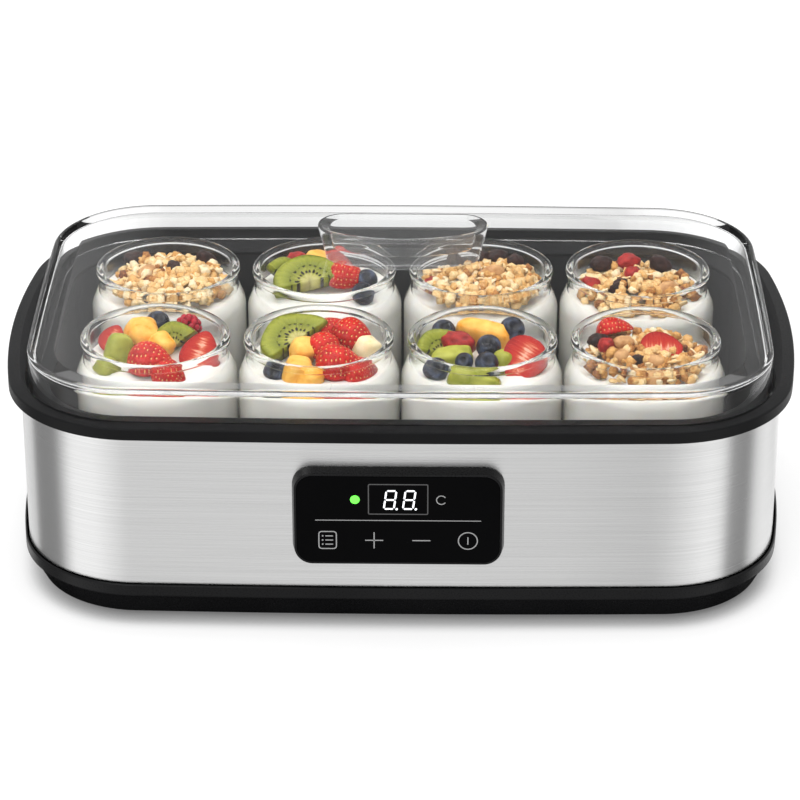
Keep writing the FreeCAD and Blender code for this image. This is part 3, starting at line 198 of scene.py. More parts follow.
def glowFinish(name, color, strength, dim=0.86):
    # Lit print: even emission that falls a little in a fine cloud
    material, tree = newMaterial(name, {"Roughness": 0.4, "Emission Strength": strength})
    lit = mixColors(tree, noiseValue(tree, 900.0, 1.0), tuple(dim * part for part in color), color)
    dress(tree, {"Base Color": lit, "Emission Color": lit})
    return material


grainedLooks = {
    "blackSatin": dict(dark=(0.004, 0.004, 0.0045), light=(0.008, 0.008, 0.0085), rough=(0.36, 0.5),
                       bump=0.015, gloss=0.1),
    "baseSatin": dict(dark=(0.004, 0.004, 0.0045), light=(0.008, 0.008, 0.0085), rough=(0.24, 0.34),
                      bump=0.01, gloss=0.13),
    "tubBlack": dict(dark=(0.012, 0.012, 0.013), light=(0.02, 0.02, 0.021), rough=(0.42, 0.55), gloss=0.15),
    "footRubber": dict(dark=(0.014,) * 3, light=(0.026,) * 3, rough=(0.7, 0.85), grain=900.0),
    "zincScrew": dict(dark=(0.5, 0.5, 0.49), light=(0.66, 0.66, 0.65), rough=(0.25, 0.42), metal=1.0),
    "plateAluminium": dict(dark=(0.66, 0.66, 0.67), light=(0.8, 0.8, 0.81), rough=(0.3, 0.48), grain=700.0,
                           metal=1.0),
    "canSteel": dict(dark=(0.55, 0.54, 0.52), light=(0.7, 0.69, 0.67), rough=(0.22, 0.4), metal=1.0),
    "cordSilicone": dict(dark=(0.6, 0.57, 0.52), light=(0.74, 0.71, 0.66), rough=(0.5, 0.62), grain=800.0),
    "feltMat": dict(dark=(0.62, 0.59, 0.51), light=(0.82, 0.8, 0.74), rough=(0.85, 0.95), grain=1100.0,
                    drift=60.0, bump=0.25),
    "boardGreen": dict(dark=(0.012, 0.12, 0.045), light=(0.03, 0.22, 0.09), rough=(0.3, 0.42), grain=500.0,
                       drift=90.0),
    "greyMoulded": dict(dark=(0.13, 0.13, 0.135), light=(0.2, 0.2, 0.205), rough=(0.45, 0.6)),
    "keyFoam": dict(dark=(0.03,) * 3, light=(0.06,) * 3, rough=(0.8, 0.95), grain=1300.0, drift=80.0, bump=0.12),
    "cableSleeve": dict(dark=(0.02, 0.02, 0.022), light=(0.04, 0.04, 0.043), rough=(0.45, 0.6), grain=900.0),
    "lensBlack": dict(dark=(0.0011, 0.0011, 0.0013), light=(0.0018, 0.0018, 0.0021), rough=(0.07, 0.12),
                      grain=300.0, drift=20.0, bump=0.0, gloss=0.03),
}
brushedLooks = {
    "brushedSteel": dict(dark=(0.56, 0.56, 0.558), light=(0.66, 0.66, 0.658), rough=(0.28, 0.22), along=14.0,
                         across=5200.0, bump=0.004),
}
# Edge is a painted shade where a clear wall is seen edge on, darker and olive on the jars; grazing sets where it
# starts; rim is a painted dark outline
clearLooks = {
    "clearPlastic": dict(tint=(0.985, 0.99, 0.99), edge=(0.82, 0.83, 0.83), ior=1.19, smear=0.03, coat=0.3,
                         rim=(0.03,) * 3),
    "gripPlastic": dict(tint=(0.96, 0.965, 0.965), edge=(0.5, 0.51, 0.51), ior=1.05, smear=0.04, coat=0.5,
                        through=0.98),
    "jarGlass": dict(tint=(0.97, 0.985, 0.978), edge=(0.3, 0.29, 0.19), ior=1.24, smear=0.03, coat=0.2,
                     grazing=0.5),
}
glowLooks = {
    "printGrey": dict(color=(0.36,) * 3, strength=0.1),
    "printDim": dict(color=(0.07,) * 3, strength=0.1),
    "digitGlow": dict(color=(0.9, 0.93, 0.96), strength=1.0),
    "lampGreen": dict(color=(0.12, 0.9, 0.06), strength=1.3),
}
finishes = {name: makeFinish(name, **look)
            for makeFinish, looks in ((grainedFinish, grainedLooks), (brushedFinish, brushedLooks),
                                      (clearFinish, clearLooks), (glowFinish, glowLooks))
            for name, look in looks.items()}

jarNames = [f"jar_{number}" for number in range(1, 9)]
finishedNodes = {
    "blackSatin": ["base_tray", "top_collar", "control_housing", "cord_gland"],
    "footRubber": ["rubber_feet"],
    "zincScrew": ["base_screws", "sensor_clip", "fuse_clip", "board_screws", "supply_screws"],
    "brushedSteel": ["steel_band"],
    "tubBlack": ["inner_tub"],
    "clearPlastic": ["lid_shell", "status_lamps"],
    "gripPlastic": ["lid_handle"],
    "plateAluminium": ["heater_plate"],
    "cordSilicone": ["heating_element", "heater_leads"],
    "feltMat": ["insulation_mat"],
    "canSteel": ["temperature_sensor", "thermal_fuse"],
    "lensBlack": ["control_lens"],
    "boardGreen": ["control_board", "power_board"],
    "greyMoulded": ["display_module", "buzzer", "film_capacitor", "smoothing_capacitor", "power_triac",
                    "terminal_block"],
    "keyFoam": ["touch_foams"],
    "cableSleeve": ["control_harness"],
    "jarGlass": jarNames,
}


def setFinish(nodeName, finish):
    # One material in place of those that a CAD node came with
    mesh = cadNodes[nodeName].data
    mesh.materials.clear()
    mesh.materials.append(finishes[finish])


for finish, nodeNames in finishedNodes.items():
    for nodeName in nodeNames:
        setFinish(nodeName, finish)
print("finishes set:", len(finishes))


# Meshes from whole arrays

def makeShape(points, polygons, **attributes):
    # Points in millimetres, polygons in one index array for each number of corners, and attributes of the points
    return {"points": points, "polygons": polygons, "attributes": attributes}


def makeMesh(name, shape, finish, smooth=True):
    # Corners of all polygons run on in one row, and each polygon starts where the one before it ends
    points, polygons = shape["points"], shape["polygons"]
    counts = np.concatenate([np.full(len(part), part.shape[1]) for part in polygons])
    corners = np.concatenate([part.ravel() for part in polygons]).astype(np.int32)
    mesh = bpy.data.meshes.new(name)
    mesh.vertices.add(len(points))
    mesh.vertices.foreach_set("co", np.ascontiguousarray(points * mm, np.float32).ravel())
    mesh.loops.add(len(corners))
    mesh.loops.foreach_set("vertex_index", corners)
    mesh.polygons.add(len(counts))
    mesh.polygons.foreach_set("loop_start", (np.cumsum(counts) - counts).astype(np.int32))
    mesh.polygons.foreach_set("use_smooth", np.full(len(counts), smooth))
    for label, values in shape["attributes"].items():
        kind, field = ("FLOAT_VECTOR", "vector") if values.ndim == 2 else ("FLOAT", "value")
        layer = mesh.attributes.new(label, kind, "POINT")
        layer.data.foreach_set(field, values.astype(np.float32).ravel())
    mesh.update(calc_edges=True)
    mesh.validate()
    mesh.materials.append(finishes[finish])
    return mesh


def addObject(name, data):
    # An object in the scene that holds a mesh, lamp or camera
    made = bpy.data.objects.new(name, data)
    scene.collection.objects.link(made)
    return made


def addPiece(name, shape, finish, body, smooth=True):
    # A piece of the part, which moves with one of its bodies
    piece = addObject(name, makeMesh(name, shape, finish, smooth))
    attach(piece, body)
    return piece


def addStage(name, data):
    # An object that isn't of the part
    staged = addObject(name, data)
    return staged


def gridQuads(rows, columns, closeRows=False, closeColumns=True):
    # Four corners of each cell of a grid, row by row, wrapped where it is closed
    row = np.arange(rows if closeRows else rows - 1)[:, None]
    column = np.arange(columns if closeColumns else columns - 1)[None]
    nextRow, nextColumn = (row + 1) % rows, (column + 1) % columns
    corners = (row, column), (row, nextColumn), (nextRow, nextColumn), (nextRow, column)
    cells = [line * columns + place for line, place in corners]
    return np.stack(np.broadcast_arrays(*cells), -1).reshape(-1, 4)


def shapeOf(rings, closed=False, **attributes):
    # Rings become rows of quads, with flat caps on the first and last ring unless the rows close on themselves
    rows, columns = rings.shape[:2]
    polygons = [gridQuads(rows, columns, closed)]
    if not closed:
        indices = np.arange(rows * columns).reshape(rows, columns)
        polygons += [indices[:1, ::-1], indices[-1:]]
    return makeShape(rings.reshape(-1, 3), polygons, **attributes)


def joined(shapes):
    # Many shapes as one: each shape's polygons are moved on by the number of points before it
    cells, attributes, start = {}, {}, 0
    for shape in shapes:
        for part in shape["polygons"]:
            cells.setdefault(part.shape[1], []).append(part + start)
        for label, values in shape["attributes"].items():
            attributes.setdefault(label, []).append(values)
        start += len(shape["points"])
    return makeShape(np.vstack([shape["points"] for shape in shapes]),
                     [np.vstack(group) for group in cells.values()],
                     **{label: np.concatenate(values) for label, values in attributes.items()})


def onCircle(turn):
    # Points of the unit circle at these angles
    return np.stack([np.cos(turn), np.sin(turn)], 1)


rounding = {"hold": 0.12, "holdShare": 0.3, "reachShare": 0.48}


def roundProfile(points, radii, steps=5, closed=False):
    # Corners become arcs: the arc's centre lies on the bisector, and a hold point beside it keeps the flats flat
    points = np.asarray(points, float)
    count = len(points)
    result = []
    for index, radius in enumerate(radii):
        corner = points[index]
        if radius == 0 or (not closed and index in (0, count - 1)):
            result.append(corner)
            continue
        sides = np.stack([points[index - 1], points[(index + 1) % count]]) - corner
        lengths = np.linalg.norm(sides, axis=1)
        sides /= lengths[:, None]
        half = np.arccos(np.clip(sides[0] @ sides[1], -1, 1)) / 2
        reach = min(radius / np.tan(half), rounding["reachShare"] * lengths.min())
        bisector = sides.sum(0) / np.linalg.norm(sides.sum(0))
        centre = corner + bisector * reach / np.cos(half)
        start, end = corner + sides * reach - centre
        turn = np.pi - 2 * half
        share = np.linspace(0, 1, steps + 1)[:, None]
        arc = centre + (np.sin((1 - share) * turn) * start + np.sin(share * turn) * end) / np.sin(turn)
        ease = reach + np.minimum(rounding["hold"], rounding["holdShare"] * lengths)
        before, after = corner + sides * ease[:, None]
        result += [before, arc, after]
    return np.vstack(result)


def profileOf(settings, steps=5, closed=False):
    # Each corner names its inset, or its radius from an axis, and its height, and says how far it is rounded
    corners = [(settings[inset], settings[height]) for inset, height, radius in settings["corners"]]
    return roundProfile(corners, [radius for inset, height, radius in settings["corners"]], steps, closed)


# Bowed plans of the body, in millimetres
collarPlan = {"halfWidth": 163.5, "halfDepth": 99.0, "corner": 54.0, "sideBow": 330.0, "frontBow": 4000.0}
lidPlan = {"halfWidth": 151.5, "halfDepth": 92.5, "corner": 42.0, "sideBow": 2500.0, "frontBow": 4000.0}
tubPlan = {"halfWidth": 143.5, "halfDepth": 79.5, "corner": 33.0, "sideBow": 2500.0, "frontBow": 4000.0}


def planRing(plan, inset, counts=(10, 22, 12)):
    # One quarter is a side bow, a corner arc tangent to it and a front bow; the other three mirror it
    width, depth, corner, sideBow, frontBow = (
        plan[size] - inset for size in ("halfWidth", "halfDepth", "corner", "sideBow", "frontBow"))
    sideX, frontY = width - sideBow, depth - frontBow
    apart = math.hypot(sideX, frontY)
    reachSide, reachFront = sideBow - corner, frontBow - corner
    along = (reachSide ** 2 - reachFront ** 2 + apart ** 2) / (2 * apart)
    aside = math.sqrt(reachSide ** 2 - along ** 2)
    run = np.array([-sideX, frontY]) / apart
    across = np.array([-run[1], run[0]])
    choices = [np.array([sideX, 0]) + run * along + sign * aside * across for sign in (1, -1)]
    centre = max(choices, key=lambda place: place.min())
    sideAngle = math.atan2(centre[1], centre[0] - sideX)
    frontAngle = math.atan2(centre[1] - frontY, centre[0])
    sweeps = [((sideX, 0), sideBow, 0, sideAngle), (centre, corner, sideAngle, frontAngle),
              ((0, frontY), frontBow, frontAngle, np.pi / 2)]
    quarter = np.vstack([
        np.array(place) + radius * onCircle(np.linspace(start, end, count, endpoint=False))
        for (place, radius, start, end), count in zip(sweeps, counts)])
    half = np.vstack([quarter, [[0, depth]], quarter[:0:-1] * [-1, 1]])
    return np.vstack([half, -half])


def ringStack(rows):
    # Each row is an outline and its height; together they become a stack of rings
    return np.stack([np.column_stack([outline, np.full(len(outline), height)]) for outline, height in rows])


def sweepPlan(rows):
    # Each row is a plan, an inset and a height
    return ringStack([(planRing(plan, inset), height) for plan, inset, height in rows])


def planRows(plan, profile):
    # A profile of inset and height carried round one plan
    return [(plan, inset, height) for inset, height in profile]


def addSwept(name, rings, finish, body, slotName, replaced=None, closed=False, **attributes):
    # A skin of swept rings, which can take the place of a CAD node
    piece = addPiece(name, shapeOf(rings, closed, **attributes), finish, body)
    if replaced:
        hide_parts(replaced)
    return piece


# Body: band, collar and the outer skin of the base

band = {"low": 18.7, "high": 86.5, "inset": 5.0, "inner": 5.6,
        "corners": (("inset", "low", 0.15), ("inset", "high", 0.15), ("inner", "high", 0.15), ("inner", "low", 0.15))}
bandRows = planRows(collarPlan, profileOf(band, 2, closed=True))
addSwept("bandSkin", sweepPlan(bandRows), "brushedSteel", "base", "brushed_band", "steel_band", True)

collar = {"low": 86.5, "shoulder": 91.5, "top": 92.5, "ledge": 88.0, "under": 86.2, "tuck": 6.0, "outer": 0.0,
          "slope": 5.0, "flat": 8.0,
          "corners": (("tuck", "low", 0), ("outer", "low", 0.5), ("outer", "shoulder", 0.8), ("slope", "top", 1.5),
                      ("flat", "top", 0)),
          # Rebate for the lid, ledge of the tub and underside: plan, inset, and the step from a level
          "inner": ((lidPlan, -1.9, "top", 0.0), (lidPlan, -1.5, "top", -0.1), (lidPlan, -1.4, "top", -0.5),
                    (lidPlan, -1.4, "ledge", 0.4), (lidPlan, -1.2, "ledge", 0.0), (tubPlan, -0.7, "ledge", 0.0),
                    (tubPlan, -0.3, "ledge", -0.1), (tubPlan, 0.0, "ledge", -0.5), (tubPlan, 0.0, "under", 0.0),
                    (collarPlan, 6.2, "under", 0.0))}
collarOuter = planRows(collarPlan, profileOf(collar)[1:-1])
collarInner = [(plan, inset, collar[level] + step) for plan, inset, level, step in collar["inner"]]
addSwept("collarSkin", sweepPlan(collarOuter + collarInner), "blackSatin", "base", "black_plastic", "top_collar", True)

skirt = {"proud": 0.06, "depth": 0.5, "bottom": 2.56, "shoulder": 13.64, "top": 18.7, "tuckInset": 12.7,
         "bottomInset": 10.2, "shoulderInset": 4.8, "flangeInset": 3.5, "lapInset": 4.95, "innerTuck": 12.6,
         "innerLap": 4.9,
         "corners": (("tuckInset", "bottom", 0), ("bottomInset", "bottom", 1.2), ("shoulderInset", "shoulder", 0.5),
                     ("flangeInset", "shoulder", 0.6), ("flangeInset", "top", 0.7), ("lapInset", "top", 0))}
skirtOuter = profileOf(skirt) - [skirt["proud"], 0]
skirtInner = [(skirt["innerLap"], skirt["top"] - skirt["depth"]),
              (skirt["shoulderInset"] + skirt["depth"], skirt["shoulder"]),
              (skirt["bottomInset"] + skirt["depth"], skirt["bottom"] + skirt["depth"]),
              (skirt["innerTuck"], skirt["bottom"] + skirt["depth"])]
skirtRings = sweepPlan(planRows(collarPlan, np.vstack([skirtOuter, skirtInner])))
addSwept("baseSkin", skirtRings, "baseSatin", "base", "black_plastic", closed=True)
print("body skins built")


# Lid and its hollow grip

lid = {"low": 88.3, "fadeHeight": 103.6, "top": 105.9, "panel": 104.2, "under": 102.4, "draft": -0.6, "outer": 0.0,
       "wall": 2.2, "ridge": 2.2, "border": 10.7, "cap": 16.0, "rim": 1.19,
       "corners": (("cap", "under", 0), ("wall", "under", 1.6), ("foot", "low", 0.5), ("draft", "low", 0.5),
                   ("fadeInset", "fadeHeight", 0), ("outer", "top", 1.2), ("ridge", "top", 0.9),
                   ("border", "panel", 1.5), ("cap", "panel", 0))}
lid["foot"] = lid["draft"] + lid["wall"]
lid["fadeInset"] = lid["draft"] * (lid["top"] - lid["fadeHeight"]) / (lid["top"] - lid["low"])
lidProfile = profileOf(lid, 6)
lidRings = sweepPlan(planRows(lidPlan, lidProfile))
# The rounded outer edge is marked for a painted dark outline, where it is seen from within
lidPaintedOutline = (lidProfile[:, 0] < lid["rim"]) & (lidProfile[:, 1] > lid["top"] - lid["rim"])
lidPiece = addSwept("lidClear", lidRings, "clearPlastic", "lid", "clear_plastic", "lid_shell",
                    rim=np.repeat(lidPaintedOutline, lidRings.shape[1]))

grip = {"y": 37.0, "halfLength": 36.5, "halfDepth": 14.3, "corner": 11.5, "foot": 104.25, "top": 119.7,
        "dishHeight": 118.4, "floor": 108.7, "tuck": 6.6, "taper": 3.6, "outer": 0.0, "lip": 1.2, "dish": 4.6,
        "hollow": 7.0, "core": 10.0,
        "corners": (("tuck", "foot", 0), ("taper", "foot", 0.5), ("outer", "top", 0.6), ("lip", "top", 0.5),
                    ("dish", "dishHeight", 1.2), ("hollow", "floor", 1.5), ("core", "floor", 0))}


def roundedRing(halfWidth, halfHeight, corner, steps=12):
    # A rectangle with quarter-circle corners, run round anticlockwise from the right
    quarter = corner * onCircle(np.linspace(0, np.pi / 2, steps + 1))
    right = quarter + [halfWidth - corner, halfHeight - corner]
    left = right[::-1] * [-1, 1]
    return np.vstack([right, left, -right, -left])


def bowedRing(halfWidth, halfDepth, corner, arcSteps=20, bowSteps=40):
    # A straight rear edge, two corner arcs and a front bow tangent to both; its radius follows from the three sizes
    reach, rise = halfWidth - corner, halfDepth - corner
    bow = reach ** 2 / (4 * rise) + halfDepth
    centre = bow - halfDepth
    meet = math.atan2(rise - centre, reach)
    arcs = [((reach, rise), corner, np.linspace(meet, np.pi / 2, arcSteps)),
            ((-reach, rise), corner, np.linspace(np.pi / 2, np.pi - meet, arcSteps)),
            ((0, centre), bow, np.linspace(np.pi - meet, 2 * np.pi + meet, bowSteps)[1:-1])]
    return np.vstack([np.array(place) + radius * onCircle(turn) for place, radius, turn in arcs])


gripSizes = np.array([grip["halfLength"], grip["halfDepth"], grip["corner"]])
gripRings = ringStack([(bowedRing(*gripSizes - inset), height) for inset, height in profileOf(grip, 6)])
gripPiece = addSwept("gripClear", gripRings + [0, grip["y"], 0], "gripPlastic", "lid", "clear_plastic",
                     "lid_handle")
print("lid built")


# Control unit on the front

panel = {"middle": 52.6, "halfWidth": 41.5, "halfHeight": 20.4, "corner": 7.3, "rear": 94.1, "face": 99.2,
         "lensBack": 97.6, "lap": 4.0, "draft": -1.0, "outer": 0.0, "border": 0.9, "printLift": 0.04,
         "corners": (("lap", "rear", 0), ("draft", "rear", 0.3), ("outer", "face", 0.75), ("border", "face", 0.2),
                     ("border", "lensBack", 0.1), ("lap", "lensBack", 0))}
panelSizes = np.array([panel["halfWidth"], panel["halfHeight"], panel["corner"]])


def onPanel(points):
    # Across, up and out from the unit's middle become places on the front
    return points[..., [0, 2, 1]] * [1, -1, 1] + [0, 0, panel["middle"]]


panelRings = onPanel(ringStack([(roundedRing(*panelSizes - inset), out) for inset, out in profileOf(panel)]))
addSwept("panelFrame", panelRings, "baseSatin", "base", "black_plastic", "control_housing")


def flatShape(points, cells):
    # Flat polygons across and up, turned to face the front by the sign of their area
    corners = points[cells]
    following = np.roll(corners, -1, 1)
    area = (corners[..., 0] * following[..., 1] - corners[..., 1] * following[..., 0]).sum(1)
    return makeShape(points, [np.where(area[:, None] < 0, cells[:, ::-1], cells)])


def strokeShape(path, width, closed=False):
    # A flat line: each point is moved half the width to both sides, along the mean normal of its two runs
    path = np.asarray(path, float)
    if closed:
        ahead, behind = np.roll(path, -1, 0), np.roll(path, 1, 0)
    else:
        ahead, behind = np.vstack([path[1:], path[-1:]]), np.vstack([path[:1], path[:-1]])
    run = ahead - behind
    run /= np.linalg.norm(run, axis=1)[:, None]
    normal = np.stack([-run[:, 1], run[:, 0]], 1) * width / 2
    return flatShape(np.vstack([path + normal, path - normal]), gridQuads(2, len(path), closeColumns=closed))


def lineShape(x, z, halfWidth, halfHeight, width):
    # A straight stroke through a point
    return strokeShape([(x - halfWidth, z - halfHeight), (x + halfWidth, z + halfHeight)], width)


def arcPath(x, z, radius, start, end, steps=40):
    # Points along an arc between two angles in degrees
    return [x, z] + radius * onCircle(np.radians(np.linspace(start, end, steps)))


def discShape(x, z, radius, steps=12):
    # A round dot, as one polygon
    return flatShape(arcPath(x, z, radius, 0, 360, steps + 1)[:-1], np.arange(steps)[None])


def addPrint(name, shapes, finish):
    # Flat shapes joined into one piece just in front of the touch face
    shape = joined(shapes)
    out = np.full(len(shape["points"]), panel["face"] + panel["printLift"])
    shape["points"] = onPanel(np.column_stack([shape["points"], out]))
    return addPiece(name, shape, finish, "base", smooth=False)


marks = {"line": 0.45, "keyHeight": -9.4, "menuX": -28.2, "plusX": -9.6, "minusX": 9.3, "powerX": 27.9,
         "page": (3.5, 3.9, 1.2), "rows": (-1.9, 0.0, 1.9), "rowMiddle": 0.65, "rowHalf": 1.55, "dotX": -2.0,
         "dot": 0.36, "arm": 3.6, "upright": 3.7, "ring": 3.8, "stem": 1.7, "divider": -0.3,
         "dividerReach": 33.1, "dividerLine": 0.34, "lampX": 17.2, "lampHeight": 9.1, "lamp": 1.9,
         "lampGap": 35, "lampLine": 0.4, "windowHeight": 9.3, "window": (11.8, 6.7, 0.5)}
line, keyZ = marks["line"], marks["keyHeight"]
# Keys: a page with three dotted rows, plus, minus and a ringed stem
page = roundedRing(*marks["page"], 6) + [marks["menuX"], keyZ]
circle = arcPath(marks["powerX"], keyZ, marks["ring"], 0, 360, 49)[:-1]
keyShapes = [strokeShape(page, line, True), strokeShape(circle, line, True),
             lineShape(marks["plusX"], keyZ, marks["arm"], 0.0, line),
             lineShape(marks["plusX"], keyZ, 0.0, marks["upright"], line),
             lineShape(marks["minusX"], keyZ, marks["arm"], 0.0, line),
             lineShape(marks["powerX"], keyZ, 0.0, marks["stem"], line)]
for rise in marks["rows"]:
    keyShapes += [lineShape(marks["menuX"] + marks["rowMiddle"], keyZ + rise, marks["rowHalf"], 0.0, line),
                  discShape(marks["menuX"] + marks["dotX"], keyZ + rise, marks["dot"])]
# Divider above the keys, and the open ring of the unlit lamp
idleRing = arcPath(marks["lampX"], marks["lampHeight"], marks["lamp"], marks["lampGap"], 360 - marks["lampGap"])
keyShapes += [lineShape(0.0, marks["divider"], marks["dividerReach"], 0.0, marks["dividerLine"]),
              strokeShape(idleRing, marks["lampLine"])]
addPrint("keyPrint", keyShapes, "printGrey")
window = roundedRing(*marks["window"], 6) + [0.0, marks["windowHeight"]]
addPrint("windowPrint", [strokeShape(window, line, True)], "printDim")


def segmentShape(start, end, width):
    # One bar of a figure: a long hexagon between two points
    start, end = np.array(start, float), np.array(end, float)
    run = (end - start) / np.linalg.norm(end - start)
    side = np.array([-run[1], run[0]]) * width / 2
    near, far = start + run * width / 2, end - run * width / 2
    return flatShape(np.array([start, near + side, far + side, end, far - side, near - side]), np.arange(6)[None])


figures = {"width": 4.0, "height": 8.1, "bar": 0.72, "slant": 0.13, "bottom": 5.0, "starts": (-5.7, 1.9),
           "gap": 0.22, "pointX": 1.15, "pointHeight": -0.1, "point": 0.5}


def figureShape(left):
    # Seven bars between the six corners of a figure eight, and a point after it, leaning to the right
    width, half, gap = figures["width"], figures["height"] / 2, figures["gap"]
    bars = [((gap, level * half), (width - gap, level * half)) for level in range(3)]
    bars += [((side, level * half + gap), (side, (level + 1) * half - gap))
             for level in range(2) for side in (0.0, width)]
    shapes = [segmentShape(start, end, figures["bar"]) for start, end in bars]
    shape = joined(shapes + [discShape(width + figures["pointX"], figures["pointHeight"], figures["point"])])
    shape["points"] = shape["points"] @ [[1, 0], [figures["slant"], 1]] + [left, figures["bottom"]]
    return shape


addPrint("digitPrint", [figureShape(left) for left in figures["starts"]], "digitGlow")
addPrint("litLamp", [discShape(-marks["lampX"], marks["lampHeight"], marks["lamp"], 28)], "lampGreen")
print("control unit built")


# Glass jars, turned from one profile

jar = {"low": 28.6, "pitchX": 67.0, "pitchY": 68.0, "wall": 2.4, "columns": 96, "under": 0.0, "footRise": 1.2,
       "floor": 4.0, "shoulderLow": 56.5, "shoulderHigh": 65.0, "rimLow": 69.8, "rimBead": 70.3, "height": 73.0,
       "core": 4.0, "footIn": 25.0, "footOut": 26.2, "body": 33.1, "neck": 29.6, "rim": 30.8,
       "corners": (("core", "footRise", 0), ("footIn", "footRise", 0.5), ("footOut", "under", 0.4),
                   ("body", "under", 5.0), ("body", "shoulderLow", 7.0), ("neck", "shoulderHigh", 7.0),
                   ("neck", "rimLow", 0.6), ("rim", "rimBead", 0.9), ("rim", "height", 1.5),
                   ("innerNeck", "height", 1.3), ("innerNeck", "shoulderHigh", 7.0),
                   ("innerBody", "shoulderLow", 7.0), ("innerBody", "floor", 5.0), ("core", "floor", 0))}
jar["innerNeck"], jar["innerBody"] = jar["neck"] - jar["wall"], jar["body"] - jar["wall"]
jarProfile = profileOf(jar, 7)
jarCentres = {name: ((index % 4 - 1.5) * jar["pitchX"], (index // 4 - 0.5) * jar["pitchY"])
              for index, name in enumerate(jarNames)}


def turned(profile, columns, jarName):
    # A profile of radius and height carried once round the axis of a jar, from the jar's underside up
    x, y = jarCentres[jarName]
    around = np.linspace(0, 2 * np.pi, columns, endpoint=False)
    radius, rise = profile[:, :1], profile[:, 1:]
    height = np.broadcast_to(rise + jar["low"], (len(profile), columns))
    return np.stack([x + radius * np.cos(around), y + radius * np.sin(around), height], -1)


clearPieces = [lidPiece, gripPiece]
for name in jarNames:
    rings = turned(jarProfile, jar["columns"], name)
    clearPieces.append(addSwept(name + "Glass", rings, "jarGlass", name, "jar_glass", name))
# Clear walls let the lamps' light through to what stands behind them
for piece in clearPieces:
    piece.visible_shadow = False
print("jars built")


# Shapes of the food, round their own middle

def ballRings(rows, columns, power=1.0, top=0.47):
    # Sines and cosines of latitude and longitude, raised to a power: under one is boxy
    latitude = np.linspace(-top, top, rows)[:, None] * np.pi
    around = np.linspace(0, 2 * np.pi, columns, endpoint=False)[None]
    bent = lambda wave: np.sign(wave) * np.abs(wave) ** power
    level = np.broadcast_to(bent(np.sin(latitude)), (rows, columns))
    reach = bent(np.cos(latitude))
    return np.stack([reach * bent(np.cos(around)), reach * bent(np.sin(around)), level], -1)


def lumpy(rings, amount, seed, waves=5, pitch=2.6):
    # A few plane waves in chance directions swell and shrink the surface along its radius
    chance = np.random.default_rng(seed)
    directions = chance.normal(size=(waves, 3)) * pitch
    phases = chance.uniform(0, 2 * np.pi, waves)
    swell = np.sin(rings @ directions.T + phases).mean(-1)
    return rings * (1 + amount * swell[..., None] * 2)


def turnMatrices(turns):
    # Degrees of spin about Y, then lean about X, then heading about Z
    matrices = np.eye(3)
    for (first, second), angle in zip(((2, 0), (1, 2), (0, 1)), np.radians(turns).T):
        step = np.tile(np.eye(3), (len(angle), 1, 1))
        step[:, first, first] = step[:, second, second] = np.cos(angle)
        step[:, second, first] = np.sin(angle)
        step[:, first, second] = -np.sin(angle)
        matrices = step @ matrices
    return matrices


def copies(shape, places, turns, scales, tones=None):
    # Every copy is the shape scaled, turned and moved; tones adds one number for each copy
    size, count = len(shape["points"]), len(places)
    scaled = shape["points"][None] * scales[:, None]
    moved = np.einsum("nij,npj->npi", turnMatrices(turns), scaled) + places[:, None]
    starts = np.arange(count)[:, None, None] * size
    attributes = {label: np.concatenate([values] * count) for label, values in shape["attributes"].items()}
    if tones is not None:
        attributes["tone"] = np.repeat(tones, size)
    polygons = [(part[None] + starts).reshape(-1, part.shape[1]) for part in shape["polygons"]]
    return makeShape(moved.reshape(-1, 3), polygons, **attributes)


def addFood(jarName, kind, parts):
    # Parts joined into one piece that rides on its jar
    shape = joined(parts)
    shape["points"] = shape["points"] + [*jarCentres[jarName], 0]
    return addPiece(jarName + kind[0].upper() + kind[1:], shape, kind, jarName)


strawberry = {"bend": 0.72, "fullness": 0.62, "wobble": 0.03, "length": 2.3, "middle": 1.25, "seedsAround": 16,
              "seedsAlong": 10, "rows": 26, "columns": 40}


def strawberryShape(cut):
    # Radius along the fruit is a sine of a bent length; a half is clipped flat at y = 0, where core runs from
    # middle to rim
    along = np.linspace(0.01, 0.99, strawberry["rows"])[:, None]
    around = np.linspace(0, 2 * np.pi, strawberry["columns"], endpoint=False)[None]
    radius = np.sin(np.pi * along ** strawberry["bend"]) ** strawberry["fullness"]
    radius = radius * (1 + strawberry["wobble"] * np.sin(3 * around + 1.1))
    whole = lambda values: np.broadcast_to(values, radius.shape)
    height = whole(strawberry["length"] * along - strawberry["middle"])
    rings = np.stack([radius * np.cos(around), radius * np.sin(around), height], -1)
    clipped = (rings[..., 1] < 0) & cut
    core = np.abs(rings[..., 0]) / np.maximum(radius, 0.05)
    core = np.maximum(core, np.abs(2 * along - 1.0) ** 3)
    rings[..., 1] = np.where(clipped, 0.0, rings[..., 1])
    turns = around / (2 * np.pi)
    skin = np.stack([whole(turns * strawberry["seedsAround"]), whole(along * strawberry["seedsAlong"]), whole(0.0)], -1)
    return shapeOf(rings, skin=skin.reshape(-1, 3), cut=clipped.ravel(), core=core.ravel())


kiwi = {"wobble": 0.025, "seedsAround": 20, "seedsAlong": 3.6, "columns": 37}


